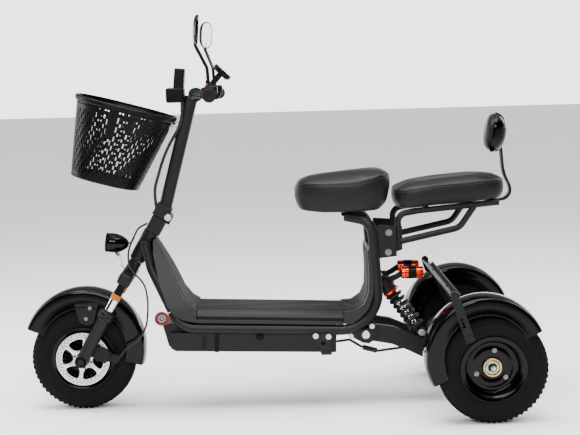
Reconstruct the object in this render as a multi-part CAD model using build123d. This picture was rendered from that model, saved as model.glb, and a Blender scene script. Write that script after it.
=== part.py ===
from build123d import *
import os
from math import cos, sin, tan, radians, hypot

# Three-wheeled electric scooter with a folding stem, drawn in millimetres.
# The drawing has its origin on the ground below the rear axle, X forward, Y left, Z up.
# Every piece leaves the file moved so that the origin is the middle of the whole machine.

# Whole machine
wheelbase = 1189.0
middle_x = (wheelbase + 10.0) / 2
half_track = 283.0
tyre_radius = 157.4
seat_gap = 0.3

# Wheels
tyre_half_width = 41.0
bead_radius = 84.0
flange_radius = 94.0
flange_half_width = 38.0
bead_half_width = 33.4
axle_radius = 10.0
bearing_fit = 0.05

# Front end, measured along the steering axis from the front axle
rake = 30.0
fork_spacing = 144.0
stanchion_radius = 14.0
lower_leg_radius = 19.0
collar_radius = 25.0
lower_leg_top = 170.0
sleeve_radius = 12.0
ring_radius = 14.6
ring_bottom = 212.0
ring_top = 230.0
sleeve_top = 262.0
crown_top = 298.0
head_bottom = 337.0
head_top = 432.0
head_radius = 23.0
steerer_radius = 13.0
hinge_base_top = 483.0
fold_bolt_x = -24.0
fold_bolt_z = 497.0

# Stem and handlebar
stem_depth = 38.0
stem_width = 44.0
stem_foot_along = 516.8
stem_foot_across = -1.9
stem_lean = 15.4
stem_length = 316.4
stem_block_top = 524.0
bar_radius = 11.1
bar_back = 19.0
bar_rise = 29.0
bar_half_length = 300.0
grip_sweep = 56.0
grip_length = 122.0
grip_radius = 17.0
mirror_y = 232.0

# Frame
frame_tube_radius = 15.0
frame_half_width = 95.0
floor_slope = 2.35
floor_x = 677.0
floor_z = 246.0
front_bend = 301.0
floor_lead = 348.0
seat_post_x = 300.0
deck_half_width = 106.0
battery_half_width = 79.0
battery_skirt_half_width = 97.0

# Saddle, rear seat and rack
saddle_half_width = 118.0
rear_seat_half_width = 112.0
rack_half_width = 85.0
rack_tube_radius = 9.5

# Rear end
pivot_x = 341.0
pivot_z = 220.0
arm_half_width = 68.0
shock_y = 50.0
shock_top_x = 300.0
shock_top_z = 394.0
shock_foot_x = 172.0
shock_foot_z = 215.0
fender_room = 15.6
fender_centre_x = 20.0
fender_lift = 37.6
fender_half_width = 55.0

os.makedirs("parts", exist_ok=True)


def save(name, shape):
    export_step(Pos(-middle_x, 0, 0) * shape, "parts/" + name + ".step")


def mirrored(shape):
    return mirror(shape, about=Plane.XZ)


def rod(start, end, radius):
    first = Vector(*start)
    last = Vector(*end)
    base = Plane(origin=first, z_dir=last - first)
    return base * Cylinder(radius, (last - first).length, align=(Align.CENTER, Align.CENTER, Align.MIN))


def bent_tube(points, bend, radius, wall=0.0):
    path = FilletPolyline(*points, radius=bend)
    section = Circle(radius)
    if wall > 0:
        section = section - Circle(radius - wall)
    start = Plane(origin=path @ 0, z_dir=path % 0)
    return sweep(start * section, path=path)


def held_cable(points, radius):
    spots = [Vector(*point) for point in points]
    runs = [after - before for before, after in zip(spots, spots[1:])]
    bends = []
    for first, second in zip(runs, runs[1:]):
        turn = radians(first.get_angle(second))
        bends.append(0.45 * min(first.length, second.length) / tan(turn / 2))
    return bent_tube(points, bends, radius)


def side_plate(points, low_y, high_y):
    face = make_face(Polyline(*points, close=True))
    outline = Plane(origin=(0, high_y, 0), x_dir=(1, 0, 0), z_dir=(0, -1, 0)) * face
    return extrude(outline, high_y - low_y)


def cross_disc(x, z, radius, low_y, high_y):
    return rod((x, low_y, z), (x, high_y, z), radius)


def ring_section(points, centre_x, centre_y, centre_z, angle):
    plane = Plane(
        origin=(centre_x, centre_y, centre_z),
        x_dir=(0, 1, 0),
        z_dir=(sin(radians(angle)), 0, -cos(radians(angle))),
    )
    return plane * make_face(Polyline(*points, close=True))


def spun(points, centre_x, centre_y, centre_z, start=0.0, turn=360.0):
    face = ring_section(points, centre_x, centre_y, centre_z, start)
    return revolve(face, axis=Axis((centre_x, centre_y, centre_z), (0, -1, 0)), revolution_arc=turn)


steer = Plane(
    origin=(wheelbase, 0, tyre_radius),
    x_dir=(cos(radians(rake)), 0, sin(radians(rake))),
    z_dir=(-sin(radians(rake)), 0, cos(radians(rake))),
)
fender_radius = tyre_radius + fender_room
fender_centre_z = tyre_radius + fender_lift
floor = Plane(
    origin=(floor_x, 0, floor_z),
    x_dir=(cos(radians(floor_slope)), 0, sin(radians(floor_slope))),
    z_dir=(-sin(radians(floor_slope)), 0, cos(radians(floor_slope))),
)


def steer_point(along, across=0.0, y=0.0):
    spot = steer.from_local_coords(Vector(across, y, along))
    return (spot.X, spot.Y, spot.Z)


def floor_height(x):
    return floor_z + (x - floor_x) * tan(radians(floor_slope))


def soft_box(length, width, height, edge):
    block = Box(length, width, height)
    return fillet(block.edges(), edge)


def steer_box(x_low, x_high, y_low, y_high, z_low, z_high, edge=0.0):
    block = Box(x_high - x_low, y_high - y_low, z_high - z_low)
    if edge > 0:
        block = fillet(block.edges(), edge)
    return steer * (Pos((x_low + x_high) / 2, (y_low + y_high) / 2, (z_low + z_high) / 2) * block)


def steer_rod(x, y, z_low, z_high, radius):
    return rod(steer_point(z_low, x, y), steer_point(z_high, x, y), radius)


# Tyres: bead between the rim flanges, round shoulder, shallow crown
def tyre(centre_x, centre_y):
    shoulder = tyre_radius - 10
    outline = [
        (-bead_half_width, bead_radius + seat_gap),
        (-bead_half_width, flange_radius - 1),
        (-tyre_half_width + 3, flange_radius + 12),
        (-tyre_half_width, flange_radius + 28),
        (-tyre_half_width + 3, shoulder - 5),
        (-tyre_half_width + 12, shoulder + 4),
        (-14, tyre_radius),
        (14, tyre_radius),
        (tyre_half_width - 12, shoulder + 4),
        (tyre_half_width - 3, shoulder - 5),
        (tyre_half_width, flange_radius + 28),
        (tyre_half_width - 3, flange_radius + 12),
        (bead_half_width, flange_radius - 1),
        (bead_half_width, bead_radius + seat_gap),
    ]
    return spun(outline, centre_x, centre_y, tyre_radius)


def rim_points(side, dish, hub_in, hub_out, hub_radius, bore):
    inner_barrel = bead_radius - 6
    return [
        (side * flange_half_width, flange_radius),
        (side * (flange_half_width - 3.5), flange_radius),
        (side * (bead_half_width + seat_gap), bead_radius),
        (-side * (bead_half_width + seat_gap), bead_radius),
        (-side * (flange_half_width - 3.5), flange_radius),
        (-side * flange_half_width, flange_radius),
        (-side * (flange_half_width - 1), inner_barrel),
        (side * (dish - 6), inner_barrel - 4),
        (side * (dish - 6), hub_radius),
        (-side * hub_in, hub_radius),
        (-side * hub_in, bore),
        (side * hub_out, bore),
        (side * hub_out, hub_radius),
        (side * dish, hub_radius),
        (side * dish, inner_barrel - 6),
        (side * (flange_half_width - 1), inner_barrel),
    ]


bore = axle_radius + bearing_fit
save("front_tyre", tyre(wheelbase, 0))
save("rear_tyre_left", tyre(0, half_track))
save("rear_tyre_right", mirrored(tyre(0, half_track)))
front_rim = spun(rim_points(1, 12, 34, 34, 26, bore), wheelbase, 0, tyre_radius)
save("front_rim", front_rim)
rear_dish = 4.0
rear_rim = spun(rim_points(1, rear_dish, 36, 14.6, 28, bore), 0, half_track, tyre_radius)
rim_bolt_circle = 48.0
for number in range(3):
    angle = radians(98 + 120 * number)
    bolt_x = rim_bolt_circle * cos(angle)
    bolt_z = tyre_radius + rim_bolt_circle * sin(angle)
    rim_face = half_track + rear_dish
    rear_rim = rear_rim + cross_disc(bolt_x, bolt_z, 7, rim_face - 2, rim_face + 6)
save("rear_rim_left", rear_rim)
save("rear_rim_right", mirrored(rear_rim))

# Brake disc: six swept windows and two rows of vent holes around a bolt-on centre
disc_radius = 80.0
disc_y = 45.0
disc_half_thickness = 1.5
disc = cross_disc(wheelbase, tyre_radius, disc_radius, disc_y - disc_half_thickness, disc_y + disc_half_thickness)
disc = disc + cross_disc(wheelbase, tyre_radius, 24, 34 + seat_gap, disc_y)
window = [(29, -9), (40, -16), (56, -10), (59, 6), (52, 15), (44, 10), (34, 7)]
for number in range(6):
    cutter = side_plate(window, disc_y - 5, disc_y + 5)
    cutter = Pos(wheelbase, 0, tyre_radius) * (Rot(0, 60 * number, 0) * cutter)
    disc = disc - cutter
disc = disc - cross_disc(wheelbase, tyre_radius, bore, 20, 60)
save("brake_disc", disc)

# Front axle with the end caps outside the fork legs
fork_y = fork_spacing / 2
front_axle = cross_disc(wheelbase, tyre_radius, axle_radius, -fork_y - 24, fork_y + 24)
for side in (1, -1):
    nut_low, nut_high = sorted((side * (fork_y + 14 + seat_gap), side * (fork_y + 17.2)))
    front_axle = front_axle + cross_disc(wheelbase, tyre_radius, 15, nut_low, nut_high)
save("front_axle", front_axle)

# Upper fork: crown, steerer, sleeves and stanchions
fork_upper = steer_box(-20, 20, -fork_y - 17, fork_y + 17, sleeve_top, crown_top, 6)
fork_upper = fork_upper + steer_rod(0, 0, crown_top - 5, head_bottom - 1, 19)
fork_upper = fork_upper + steer_rod(0, 0, head_bottom - 5, hinge_base_top - 8, steerer_radius)
for side in (1, -1):
    fork_upper = fork_upper + steer_rod(0, side * fork_y, 110, crown_top - 4, stanchion_radius)
    fork_upper = fork_upper + steer_rod(0, side * fork_y, ring_bottom, ring_top, ring_radius)
    fork_upper = fork_upper + steer_rod(0, side * fork_y, ring_top, sleeve_top + 4, sleeve_radius)
save("fork_upper", fork_upper)

# Lower fork legs: tube, collar at the top, axle lug at the foot
front_fender_half_width = 49.3
collar_flat = front_fender_half_width + seat_gap
for name, side in (("left", 1), ("right", -1)):
    leg = steer_rod(0, side * fork_y, -16, lower_leg_top - 20, lower_leg_radius)
    collar = steer_rod(0, side * fork_y, lower_leg_top - 24, lower_leg_top, collar_radius)
    collar = collar - steer_box(-30, 30, -collar_flat, collar_flat, 100, 200)
    groove = steer_rod(0, side * fork_y, lower_leg_top - 13, lower_leg_top - 10, collar_radius + 2)
    collar = collar - (groove - steer_rod(0, side * fork_y, 60, lower_leg_top, collar_radius - 1.6))
    leg = leg + collar
    leg = leg + steer_box(-15, 15, side * fork_y - 14, side * fork_y + 14, -19, 26)
    flat_low, flat_high = sorted((side * (fork_y + 14), side * (fork_y + 30)))
    leg = leg - steer_box(-22, 22, flat_low, flat_high, -30, 18)
    leg = leg - steer_rod(0, side * fork_y, 60, 200, stanchion_radius + bearing_fit)
    leg = leg - cross_disc(wheelbase, tyre_radius, axle_radius + bearing_fit, -100, 100)
    save("fork_lower_" + name, leg)


# Fender shell: crowned top and two skirts, spun about a point above the axle
def fender_points(radius, half_width, skirt, wall):
    return [
        (-half_width, radius - skirt),
        (-half_width + 1, radius - 24),
        (-half_width + 14, radius - 8),
        (-half_width * 0.3, radius),
        (half_width * 0.3, radius),
        (half_width - 14, radius - 8),
        (half_width - 1, radius - 24),
        (half_width, radius - skirt),
        (half_width - wall, radius - skirt),
        (half_width - 1 - wall, radius - 23),
        (half_width - 15 - wall * 0.3, radius - 8.5 - wall),
        (half_width * 0.3, radius - wall),
        (-half_width * 0.3, radius - wall),
        (-half_width + 15 + wall * 0.3, radius - 8.5 - wall),
        (-half_width + 1 + wall, radius - 23),
        (-half_width + wall, radius - skirt),
    ]


front_fender_radius = tyre_radius + 27.6
front_fender = spun(
    fender_points(front_fender_radius, front_fender_half_width, 58, 3),
    wheelbase - 4, 0, tyre_radius + 29, 22, 175,
)
lobe_top = front_fender_radius - 21
fender_lobe = [(16, lobe_top), (8, 124), (-3, 108), (-21, 102), (-38, 110), (-54, lobe_top)]
fender_lobe = [(wheelbase + x, tyre_radius + z) for x, z in fender_lobe]
for low_y in (front_fender_half_width - 3, -front_fender_half_width):
    front_fender = front_fender + side_plate(fender_lobe, low_y, low_y + 3)
save("front_fender", front_fender)

rear_fender = spun(
    fender_points(fender_radius, fender_half_width, 52, 3),
    fender_centre_x, half_track, fender_centre_z, -28, 183,
)
save("rear_fender_left", rear_fender)
save("rear_fender_right", mirrored(rear_fender))

# Brake caliper on the rear of the left leg, its slot over the disc
caliper = steer_box(-66, -17, disc_y - 5.4, disc_y + 16, 22, 62, 3)
caliper = caliper - steer_rod(0, fork_y, -30, 120, lower_leg_radius + seat_gap)
caliper = caliper - cross_disc(wheelbase, tyre_radius, disc_radius + 2, disc_y - 2.2, disc_y + 2.2)
actuator_x = wheelbase - 99
actuator_z = tyre_radius + 2
caliper = caliper + cross_disc(actuator_x, actuator_z, 13, disc_y + 3, disc_y + 22)
caliper_web = [(-60, 30), (-60, -6), (-99, -9), (-99, 13)]
caliper_web = [(wheelbase + x, tyre_radius + z) for x, z in caliper_web]
caliper = caliper + side_plate(caliper_web, disc_y + 5, disc_y + 14)
hose_arm = [(-104, -6), (-92, -4), (-114, 16), (-122, 10)]
hose_arm = [(wheelbase + x, tyre_radius + z) for x, z in hose_arm]
caliper = caliper + side_plate(hose_arm, disc_y + 18, disc_y + 25)
save("brake_caliper", caliper)

# Head tube with its bore for the steerer
head_tube = steer_rod(0, 0, head_bottom, head_top, head_radius)
head_tube = head_tube - steer_rod(0, 0, head_bottom - 5, head_top + 5, steerer_radius + bearing_fit)
save("head_tube", head_tube)

# Lower half of the fold hinge: clamp block on the steerer and the centre tongue
hinge_base = steer_box(-26, 20, -24, 24, head_top + 1, hinge_base_top, 3)
hinge_base = hinge_base - steer_rod(0, 0, head_top - 5, hinge_base_top - 8 + 0.3, steerer_radius + bearing_fit)
tongue = steer_box(fold_bolt_x - 12, fold_bolt_x + 12, -10, 10, hinge_base_top - 7, fold_bolt_z)
bolt_low = steer_point(fold_bolt_z, fold_bolt_x, -10)
bolt_high = steer_point(fold_bolt_z, fold_bolt_x, 10)
hinge_base = hinge_base + tongue + rod(bolt_low, bolt_high, 12)
bolt_left = steer_point(fold_bolt_z, fold_bolt_x, -30)
bolt_right = steer_point(fold_bolt_z, fold_bolt_x, 30)
hinge_base = hinge_base + rod(bolt_left, bolt_right, 5)
save("hinge_base", hinge_base)

# Upper half of the fold hinge and the stem tube
stem_plane = Plane(
    origin=steer_point(stem_foot_along, stem_foot_across),
    x_dir=(cos(radians(stem_lean)), 0, sin(radians(stem_lean))),
    z_dir=(-sin(radians(stem_lean)), 0, cos(radians(stem_lean))),
)
stem_head = stem_plane.from_local_coords(Vector(0, 0, stem_length))
bar_x = stem_head.X - bar_back
bar_z = stem_head.Z + bar_rise
grip_x = bar_x - grip_sweep
stem = steer_box(-24, 24, -26, 26, hinge_base_top + 1, stem_block_top, 3)
ear_left = steer_point(fold_bolt_z, fold_bolt_x, -26)
ear_right = steer_point(fold_bolt_z, fold_bolt_x, 26)
stem = stem + rod(ear_left, ear_right, 12.5)
stem_section = RectangleRounded(stem_depth, stem_width, 14)
stem = stem + extrude(stem_plane * Pos(0, 0, -18) * stem_section, stem_length + 42)
stem = stem - steer_box(-50, -8, -10.5, 10.5, 470, fold_bolt_z + 13)
bolt_hole_left = steer_point(fold_bolt_z, fold_bolt_x, -40)
bolt_hole_right = steer_point(fold_bolt_z, fold_bolt_x, 40)
stem = stem - rod(bolt_hole_left, bolt_hole_right, 5 + bearing_fit)
clamp = cross_disc(bar_x, bar_z, 21, -28, 28)
stem = stem + clamp
stem = stem - cross_disc(bar_x, bar_z, bar_radius + bearing_fit, -60, 60)
save("stem", stem)

# Handlebar swept back to the grips
bar_points = [
    (grip_x, -bar_half_length, bar_z),
    (grip_x + 8, -bar_half_length + grip_length + 55, bar_z + 2),
    (bar_x, -48, bar_z),
    (bar_x, 48, bar_z),
    (grip_x + 8, bar_half_length - grip_length - 55, bar_z + 2),
    (grip_x, bar_half_length, bar_z),
]
save("handlebar", bent_tube(bar_points, 30, bar_radius, 2.2))

# Grips and control clusters stand around the bar ends
bar_end = Vector(grip_x, bar_half_length, bar_z)
bar_inner = Vector(grip_x + 8, bar_half_length - grip_length - 55, bar_z + 2)
bar_way = (bar_end - bar_inner).normalized()
grip_start = bar_end - bar_way * (grip_length - 3)
grip_end = bar_end + bar_way * 4
grip = rod(tuple(grip_start), tuple(grip_end), grip_radius)
grip = grip + rod(tuple(grip_start), tuple(grip_start + bar_way * 5), 21)
grip = grip + rod(tuple(grip_end - bar_way * 6), tuple(grip_end), 19)
grip = grip - rod(tuple(bar_inner), tuple(bar_end + bar_way * 0.3), bar_radius + bearing_fit)
save("grip_left", grip)
save("grip_right", mirrored(grip))

pod_start = grip_start - bar_way * 44
pod_end = grip_start - bar_way * 1
pod = rod(tuple(pod_start), tuple(pod_end), 19)
pod = pod + Pos(*tuple(pod_start + bar_way * 20)) * Pos(-4, 0, 12) * soft_box(40, 34, 26, 5)
lever_points = [
    (pod_start.X + 14, pod_start.Y + 10, bar_z - 2),
    (pod_start.X + 44, pod_start.Y + 24, bar_z - 6),
    (pod_start.X + 46, bar_half_length - 30, bar_z - 8),
]
pod = pod + bent_tube(lever_points, 14, 6)
pod = pod - rod(tuple(pod_start - bar_way * 30), tuple(pod_end + bar_way * 9), bar_radius + bearing_fit)
save("control_left", pod)
save("control_right", mirrored(pod))

# Mirrors: bent arm clamped to the control pod and a rounded head
mirror_foot = pod_start + bar_way * 20
arm_points = [
    (mirror_foot.X + 2, mirror_foot.Y, mirror_foot.Z + 25.8),
    (mirror_foot.X + 4, mirror_foot.Y + 4, bar_z + 75),
    (grip_x + 38, mirror_y, bar_z + 140),
    (grip_x + 36, mirror_y, bar_z + 170),
]
mirror_arm = bent_tube(arm_points, 18, 5)
mirror_head = Pos(grip_x + 36, mirror_y + 6, bar_z + 182) * Rot(0, -4, 0) * extrude(
    Plane.YZ * Pos(0, 0, -7) * RectangleRounded(128, 84, 30), 14
)
mirror_left = mirror_arm + mirror_head
save("mirror_left", mirror_left)
save("mirror_right", mirrored(mirror_left))

# Dash: holder block ahead of the bar clamp, and the round display on the right
dash = Pos(bar_x + 60, 0, bar_z) * soft_box(54, 62, 44, 6)
dash = dash + Pos(bar_x + 47, 0, bar_z + 47) * Rot(0, -6, 0) * soft_box(30, 58, 64, 5)
dash = dash - stem
save("holder", dash)
display_y = -88.0
display_plane = Plane(origin=(grip_x - 20, display_y, bar_z + 64), z_dir=(-0.70, 0, 0.72))
display = display_plane * Cylinder(31, 17)
display = display + rod((grip_x - 14, display_y, bar_z + 58), (grip_x + 30, display_y, bar_z + 8), 9)
display = display + rod((grip_x + 26, display_y - 10, bar_z + 2), (grip_x + 36, display_y + 8, bar_z + 2), 19)
display = display - bent_tube(bar_points, 30, bar_radius + bearing_fit)
save("display", display)

# Basket: tapered open box tilted with the stem, and its bracket on the stem
basket_tilt = 15.6
basket = Plane(
    origin=(bar_x + 204, 0, bar_z - 26),
    x_dir=(cos(radians(basket_tilt)), 0, sin(radians(basket_tilt))),
    z_dir=(-sin(radians(basket_tilt)), 0, cos(radians(basket_tilt))),
)
basket_half_length = 148.0
basket_half_width = 135.0
basket_depth = 236.0
basket_foot_half_length = 102.0
basket_foot_half_width = 100.0
basket_foot_shift = 12.0
basket_wall = 3.5


def basket_ring(depth, half_length, half_width, grow, shift=0.0):
    corner = half_width * 0.88 + grow
    return basket * Pos(shift, 0, -depth) * RectangleRounded(
        2 * (half_length + grow), 2 * (half_width + grow), corner
    )


def basket_body(grow, floor_thickness, rise):
    low = basket_ring(
        basket_depth - floor_thickness, basket_foot_half_length, basket_foot_half_width, grow, basket_foot_shift
    )
    return loft([low, basket_ring(-rise, basket_half_length, basket_half_width, grow)])


basket_outside = basket_body(0, 0, 0)
shell = basket_outside - basket_body(-basket_wall, 4, 2)
rim_outer = extrude(basket_ring(16, basket_half_length, basket_half_width, 6), 16)
rim_inner = extrude(basket_ring(20, basket_half_length, basket_half_width, -4.5), 24)
save("basket", shell + (rim_outer - rim_inner))


bracket = rod((bar_x + 76, 0, bar_z - 86), (bar_x + 30, 0, bar_z - 93), 9)
bracket = bracket + Pos(bar_x + 74, 0, bar_z - 88) * Rot(0, -basket_tilt, 0) * Box(5, 70, 40)
bracket = bracket - extrude(stem_plane * Pos(0, 0, -20) * RectangleRounded(stem_depth + 0.6, stem_width + 0.6, 14), 400)
bracket = bracket - basket_outside - rim_outer
save("basket_bracket", bracket)

# Wrapped bundle of cables from the holder down the front of the stem to the upper hinge block
harness_points = [
    (bar_x + 40, 25, bar_z - 18),
    (bar_x + 42, 27, bar_z - 80),
    (bar_x + 96, 24, bar_z - 168),
    (bar_x + 132, 20, bar_z - 278),
    steer_point(500, 18, 16),
]
save("stem_harness", held_cable(harness_points, 5.5) - dash - stem)

# Headlight: bullet shell with a bezel ring and a curved glass, on a bracket that stands on the crown
lamp_along = 339.8
lamp_across = 102.7
lamp_radius = 29.9
lamp_length = 66.6
glass_radius = 24.2
lamp_plane = Plane(origin=steer_point(lamp_along, lamp_across), x_dir=(0, 1, 0), z_dir=(-0.995, 0, -0.1))
glass_bulge = 5.0
lamp_face_points = [
    (glass_radius * sin(radians(angle)), -0.5 - glass_bulge * cos(radians(angle))) for angle in (0, 30, 60, 90)
]
lamp_face_points = lamp_face_points + [
    (glass_radius + 1.6, -2.6), (lamp_radius - 1, -2.4), (lamp_radius - 0.2, -0.8), (lamp_radius - 0.2, 2.6),
    (lamp_radius - 1.6, 3), (lamp_radius - 1.6, 4.4),
]
lamp_face_points = lamp_face_points + [
    (lamp_radius * cos(radians(angle)), 8 + (lamp_length - 8) * sin(radians(angle))) for angle in range(0, 91, 10)
]
lamp_face = lamp_plane * (Plane.XZ * make_face(Polyline(*lamp_face_points, close=True)))
headlight = revolve(lamp_face, axis=Axis(lamp_plane.origin, lamp_plane.z_dir), revolution_arc=360)
save("headlight", headlight)
lamp_arm = rod(steer_point(lamp_along - 3, lamp_across - 41), steer_point(crown_top - 7.8, 18.6), 5)
lamp_arm = lamp_arm + rod(steer_point(crown_top - 7.2, 23.5), steer_point(crown_top - 7.5, 6), 8)
lamp_arm = lamp_arm - headlight
lamp_arm = lamp_arm - fork_upper
save("headlight_bracket", lamp_arm)

# Brake hose: from the caliper back and up in a loop, over the crown to the hinge block; lamp wire beside it
hose_radius = 3.0
hose_points = [
    (actuator_x - 18, disc_y + 22, actuator_z + 10),
    (actuator_x - 38, disc_y + 39, actuator_z + 37),
    (actuator_x - 78, disc_y + 47, actuator_z + 63),
    (actuator_x - 102, disc_y + 47, actuator_z + 103),
    steer_point(253, -93, fork_y + 12),
    steer_point(297, -57, fork_y - 2),
    steer_point(309, 6, fork_y - 24),
    steer_point(352, 36, 20),
    steer_point(424, 41, 8),
    steer_point(457, 19, 8),
]
brake_hose = held_cable(hose_points, hose_radius) - caliper - hinge_base
save("brake_hose", brake_hose)
wire_points = [
    steer_point(360, 52, -3),
    steer_point(377, 36, -8),
    steer_point(415, 43, -10),
    steer_point(457, 20, -8),
]
save("lamp_wire", held_cable(wire_points, 2.2) - headlight - hinge_base)

# Frame: two tubes from the head down, along the floor, up the back and forward under the saddle
frame_front_x = wheelbase - front_bend
frame_points = [
    steer_point(head_bottom + 56.6, -2.5, 30),
    steer_point(head_bottom + 3.2, -54.1, 44),
    (frame_front_x, frame_half_width, floor_height(frame_front_x) - 1.2),
    (seat_post_x - 6, frame_half_width, floor_height(seat_post_x) - 0.5),
    (seat_post_x + 18, frame_half_width, 556),
    (392, 62, 570),
]
frame_bends = [90, 75, 112, 45]
left_tube = bent_tube(frame_points, frame_bends, frame_tube_radius, 2.5)
stub = rod(steer_point(head_bottom + 59.2, -1, 8), steer_point(head_bottom + 56.6, -2.5, 40), 13)
gusset = side_plate([(400, 224), (352, 196), (332, 192), (316, 203), (312, 262), (330, 240)],
                    frame_half_width - 3, frame_half_width + 3)
shock_lug = side_plate([(300, 410), (300, 378), (284, 378), (284, 410)], shock_y - 24, frame_half_width)
mount_plate = side_plate([(300, 545), (247, 541), (245, 452), (300, 446)], frame_half_width - 3, frame_half_width + 3)
seat_bridge = rod((388, 0, 571), (388, 64, 571), 10)
left_frame = left_tube + gusset + mount_plate + stub
bore_cut = steer_rod(0, 0, head_bottom - 5, head_top + 5, head_radius + seat_gap)
hollow = bent_tube(frame_points, frame_bends, frame_tube_radius - 2.5)
left_frame = (left_frame - bore_cut) - hollow
pivot_cut = cross_disc(pivot_x, pivot_z, 8 + bearing_fit, -200, 200)
left_frame = left_frame - pivot_cut
save("frame_left", left_frame)
save("frame_right", mirrored(left_frame))

# Floor panel and the two risers share one crowned section with a ledge over the tube
riser_x = wheelbase - floor_lead
floor_front = riser_x - floor_x
floor_back = 407.0 - floor_x
panel_section = [
    (-deck_half_width, 17), (deck_half_width, 17), (deck_half_width, 27), (94, 29), (94, 34), (101, 36),
    (97, 46), (84, 54), (60, 57), (-60, 57), (-84, 54), (-97, 46), (-101, 36), (-94, 34), (-94, 29),
    (-deck_half_width, 27),
]
panel_plane = Plane(origin=floor.from_local_coords(Vector(floor_back, 0, 0)), x_dir=(0, 1, 0),
                    z_dir=(cos(radians(floor_slope)), 0, sin(radians(floor_slope))))
panel = extrude(panel_plane * make_face(Polyline(*panel_section, close=True)), floor_front - floor_back)
rib_pitch = 20.0
rib_width = 9.2
rib_height = 2.6
rib_middles = [rib_pitch * (number - 3.5) for number in range(8)]
for middle in rib_middles:
    crown = 57 - max(0, abs(middle) - 60) / 8
    rib = Pos(middle, crown + rib_height - 2.5) * Rectangle(rib_width, 5)
    panel = panel + extrude(panel_plane * rib, floor_front - floor_back)
save("deck_floor", panel)

riser_head = steer_point(head_top - 9.4, -22.8)
head_reach = riser_head[0] - riser_x
head_rise = riser_head[2]
riser_back_line = [(-1.9, 309.5), (21, 325), (43, 356), (74, 430), (head_reach, head_rise)]
riser_front_line = [(head_reach + 8, head_rise), (head_reach + 8, head_rise - 42), (109, 395), (84, 320), (64, 292), (39, 279)]
front_outline = [(riser_x + x, z) for x, z in [(-0.4, 270.2)] + riser_back_line + riser_front_line]
front_plan = [
    (-deck_half_width, 200), (deck_half_width, 200), (deck_half_width, 300), (82, 392), (58, 450), (30, head_rise + 2),
    (-30, head_rise + 2), (-58, 450), (-82, 392), (-deck_half_width, 300),
]
front_riser = side_plate(front_outline, -deck_half_width, deck_half_width)
front_mask = extrude(Plane(origin=(riser_x + 260, 0, 0), x_dir=(0, 1, 0), z_dir=(1, 0, 0))
                     * make_face(Polyline(*front_plan, close=True)), -400)
frame_cut = bent_tube(frame_points, frame_bends, frame_tube_radius + seat_gap)
frame_cut = frame_cut + mirrored(frame_cut)
front_riser = (front_riser & front_mask) - frame_cut - bore_cut
save("deck_front", front_riser)

rear_outline = [
    (406.2, 255), (404.2, 291.3), (372, 293), (345, 312), (331, 345), (329, 400), (332, 470), (326, 478),
    (318, 470), (316, 400), (317, 340), (330, 300), (352, 275), (380, 254),
]
rear_riser = side_plate(rear_outline, -deck_half_width, deck_half_width)
rear_rib_line = [(404.2, 291.3), (372, 293), (345, 312), (331, 345), (329, 400), (332, 466)]
rear_rib_rise = [(404.2, 293.9), (372.6, 295.6), (346.4, 313.9), (333.6, 345.8), (331.6, 400), (334.6, 465.8)]
for middle in rib_middles:
    rib = side_plate(rear_rib_line + rear_rib_rise[::-1], middle - rib_width / 2, middle + rib_width / 2)
    rear_riser = rear_riser + rib
rear_riser = rear_riser - frame_cut
save("deck_rear", rear_riser)

# Battery box slung between the floor tubes, skirt below them, nose up to the front bend
battery_back = floor_back + 20
battery_outline = [
    (battery_back, 16.4), (battery_back, -67), (battery_back + 90, -68), (floor_front + 61, -70),
    (floor_front + 83, -58), (floor_front + 102, 4), (floor_front + 76, 10), (floor_front + 26, 16.4),
]
battery_face = floor * Plane.XZ * make_face(Polyline(*battery_outline, close=True))
battery_box = extrude(battery_face, battery_half_width, both=True)
battery_skirt_outline = [
    (battery_back, -15.4), (battery_back, -67), (battery_back + 90, -68), (floor_front + 61, -70),
    (floor_front + 76, -61), (floor_front + 76, -15.4),
]
skirt_face = floor * Plane.XZ * make_face(Polyline(*battery_skirt_outline, close=True))
battery_box = battery_box + extrude(skirt_face, battery_skirt_half_width, both=True)
battery_box = battery_box - frame_cut
save("battery_box", battery_box)

foot_bracket = Pos(456, 0, 166.4) * Box(26, 222, 4)
for side in (1, -1):
    wing = side_plate([(443, 164.4), (473, 164.4), (503, 229), (443, 229)], side * 109 - 2, side * 109 + 2)
    foot_bracket = foot_bracket + wing
foot_bracket = foot_bracket - cross_disc(468, 200, 6.5, -200, 200)
foot_bracket = foot_bracket - frame_cut
save("foot_bracket", foot_bracket)

# Horn on a small bracket at the left tube
horn_x = frame_front_x + 53
horn = cross_disc(horn_x, 288, 21, 112.5, 118.5) - cross_disc(horn_x, 288, 17, 116.5, 120)
horn_slot = [(5, -0.9), (12.4, -1.8), (13.6, 0), (12.4, 1.8), (5, 0.9)]
for number in range(10):
    cutter = Rot(0, 36 * number, 0) * side_plate(horn_slot, 115, 120)
    horn = horn - Pos(horn_x, 0, 288) * cutter
horn = horn + cross_disc(horn_x, 288, 17.6, 99, 112.5)
horn = horn + rod((horn_x - 3, 104, 291), (horn_x - 29, 84, 300), 6)
horn = horn - frame_cut
save("horn", horn)

# Saddle: three sections lofted from nose to kicked-up tail, over a flat base
saddle_outline = [
    (258, 612), (258, 650), (268, 690), (284, 703), (310, 697), (380, 688), (470, 687), (520, 682),
    (541, 660), (543, 625), (535, 590), (520, 583), (380, 583), (300, 585),
]
saddle = side_plate(saddle_outline, -saddle_half_width, saddle_half_width)
saddle_plan = Plane.XY.offset(560) * Pos(400, 0, 0) * RectangleRounded(290, 2 * saddle_half_width, 62)
saddle = (saddle & extrude(saddle_plan, 200)) - frame_cut
save("saddle", saddle)

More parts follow.
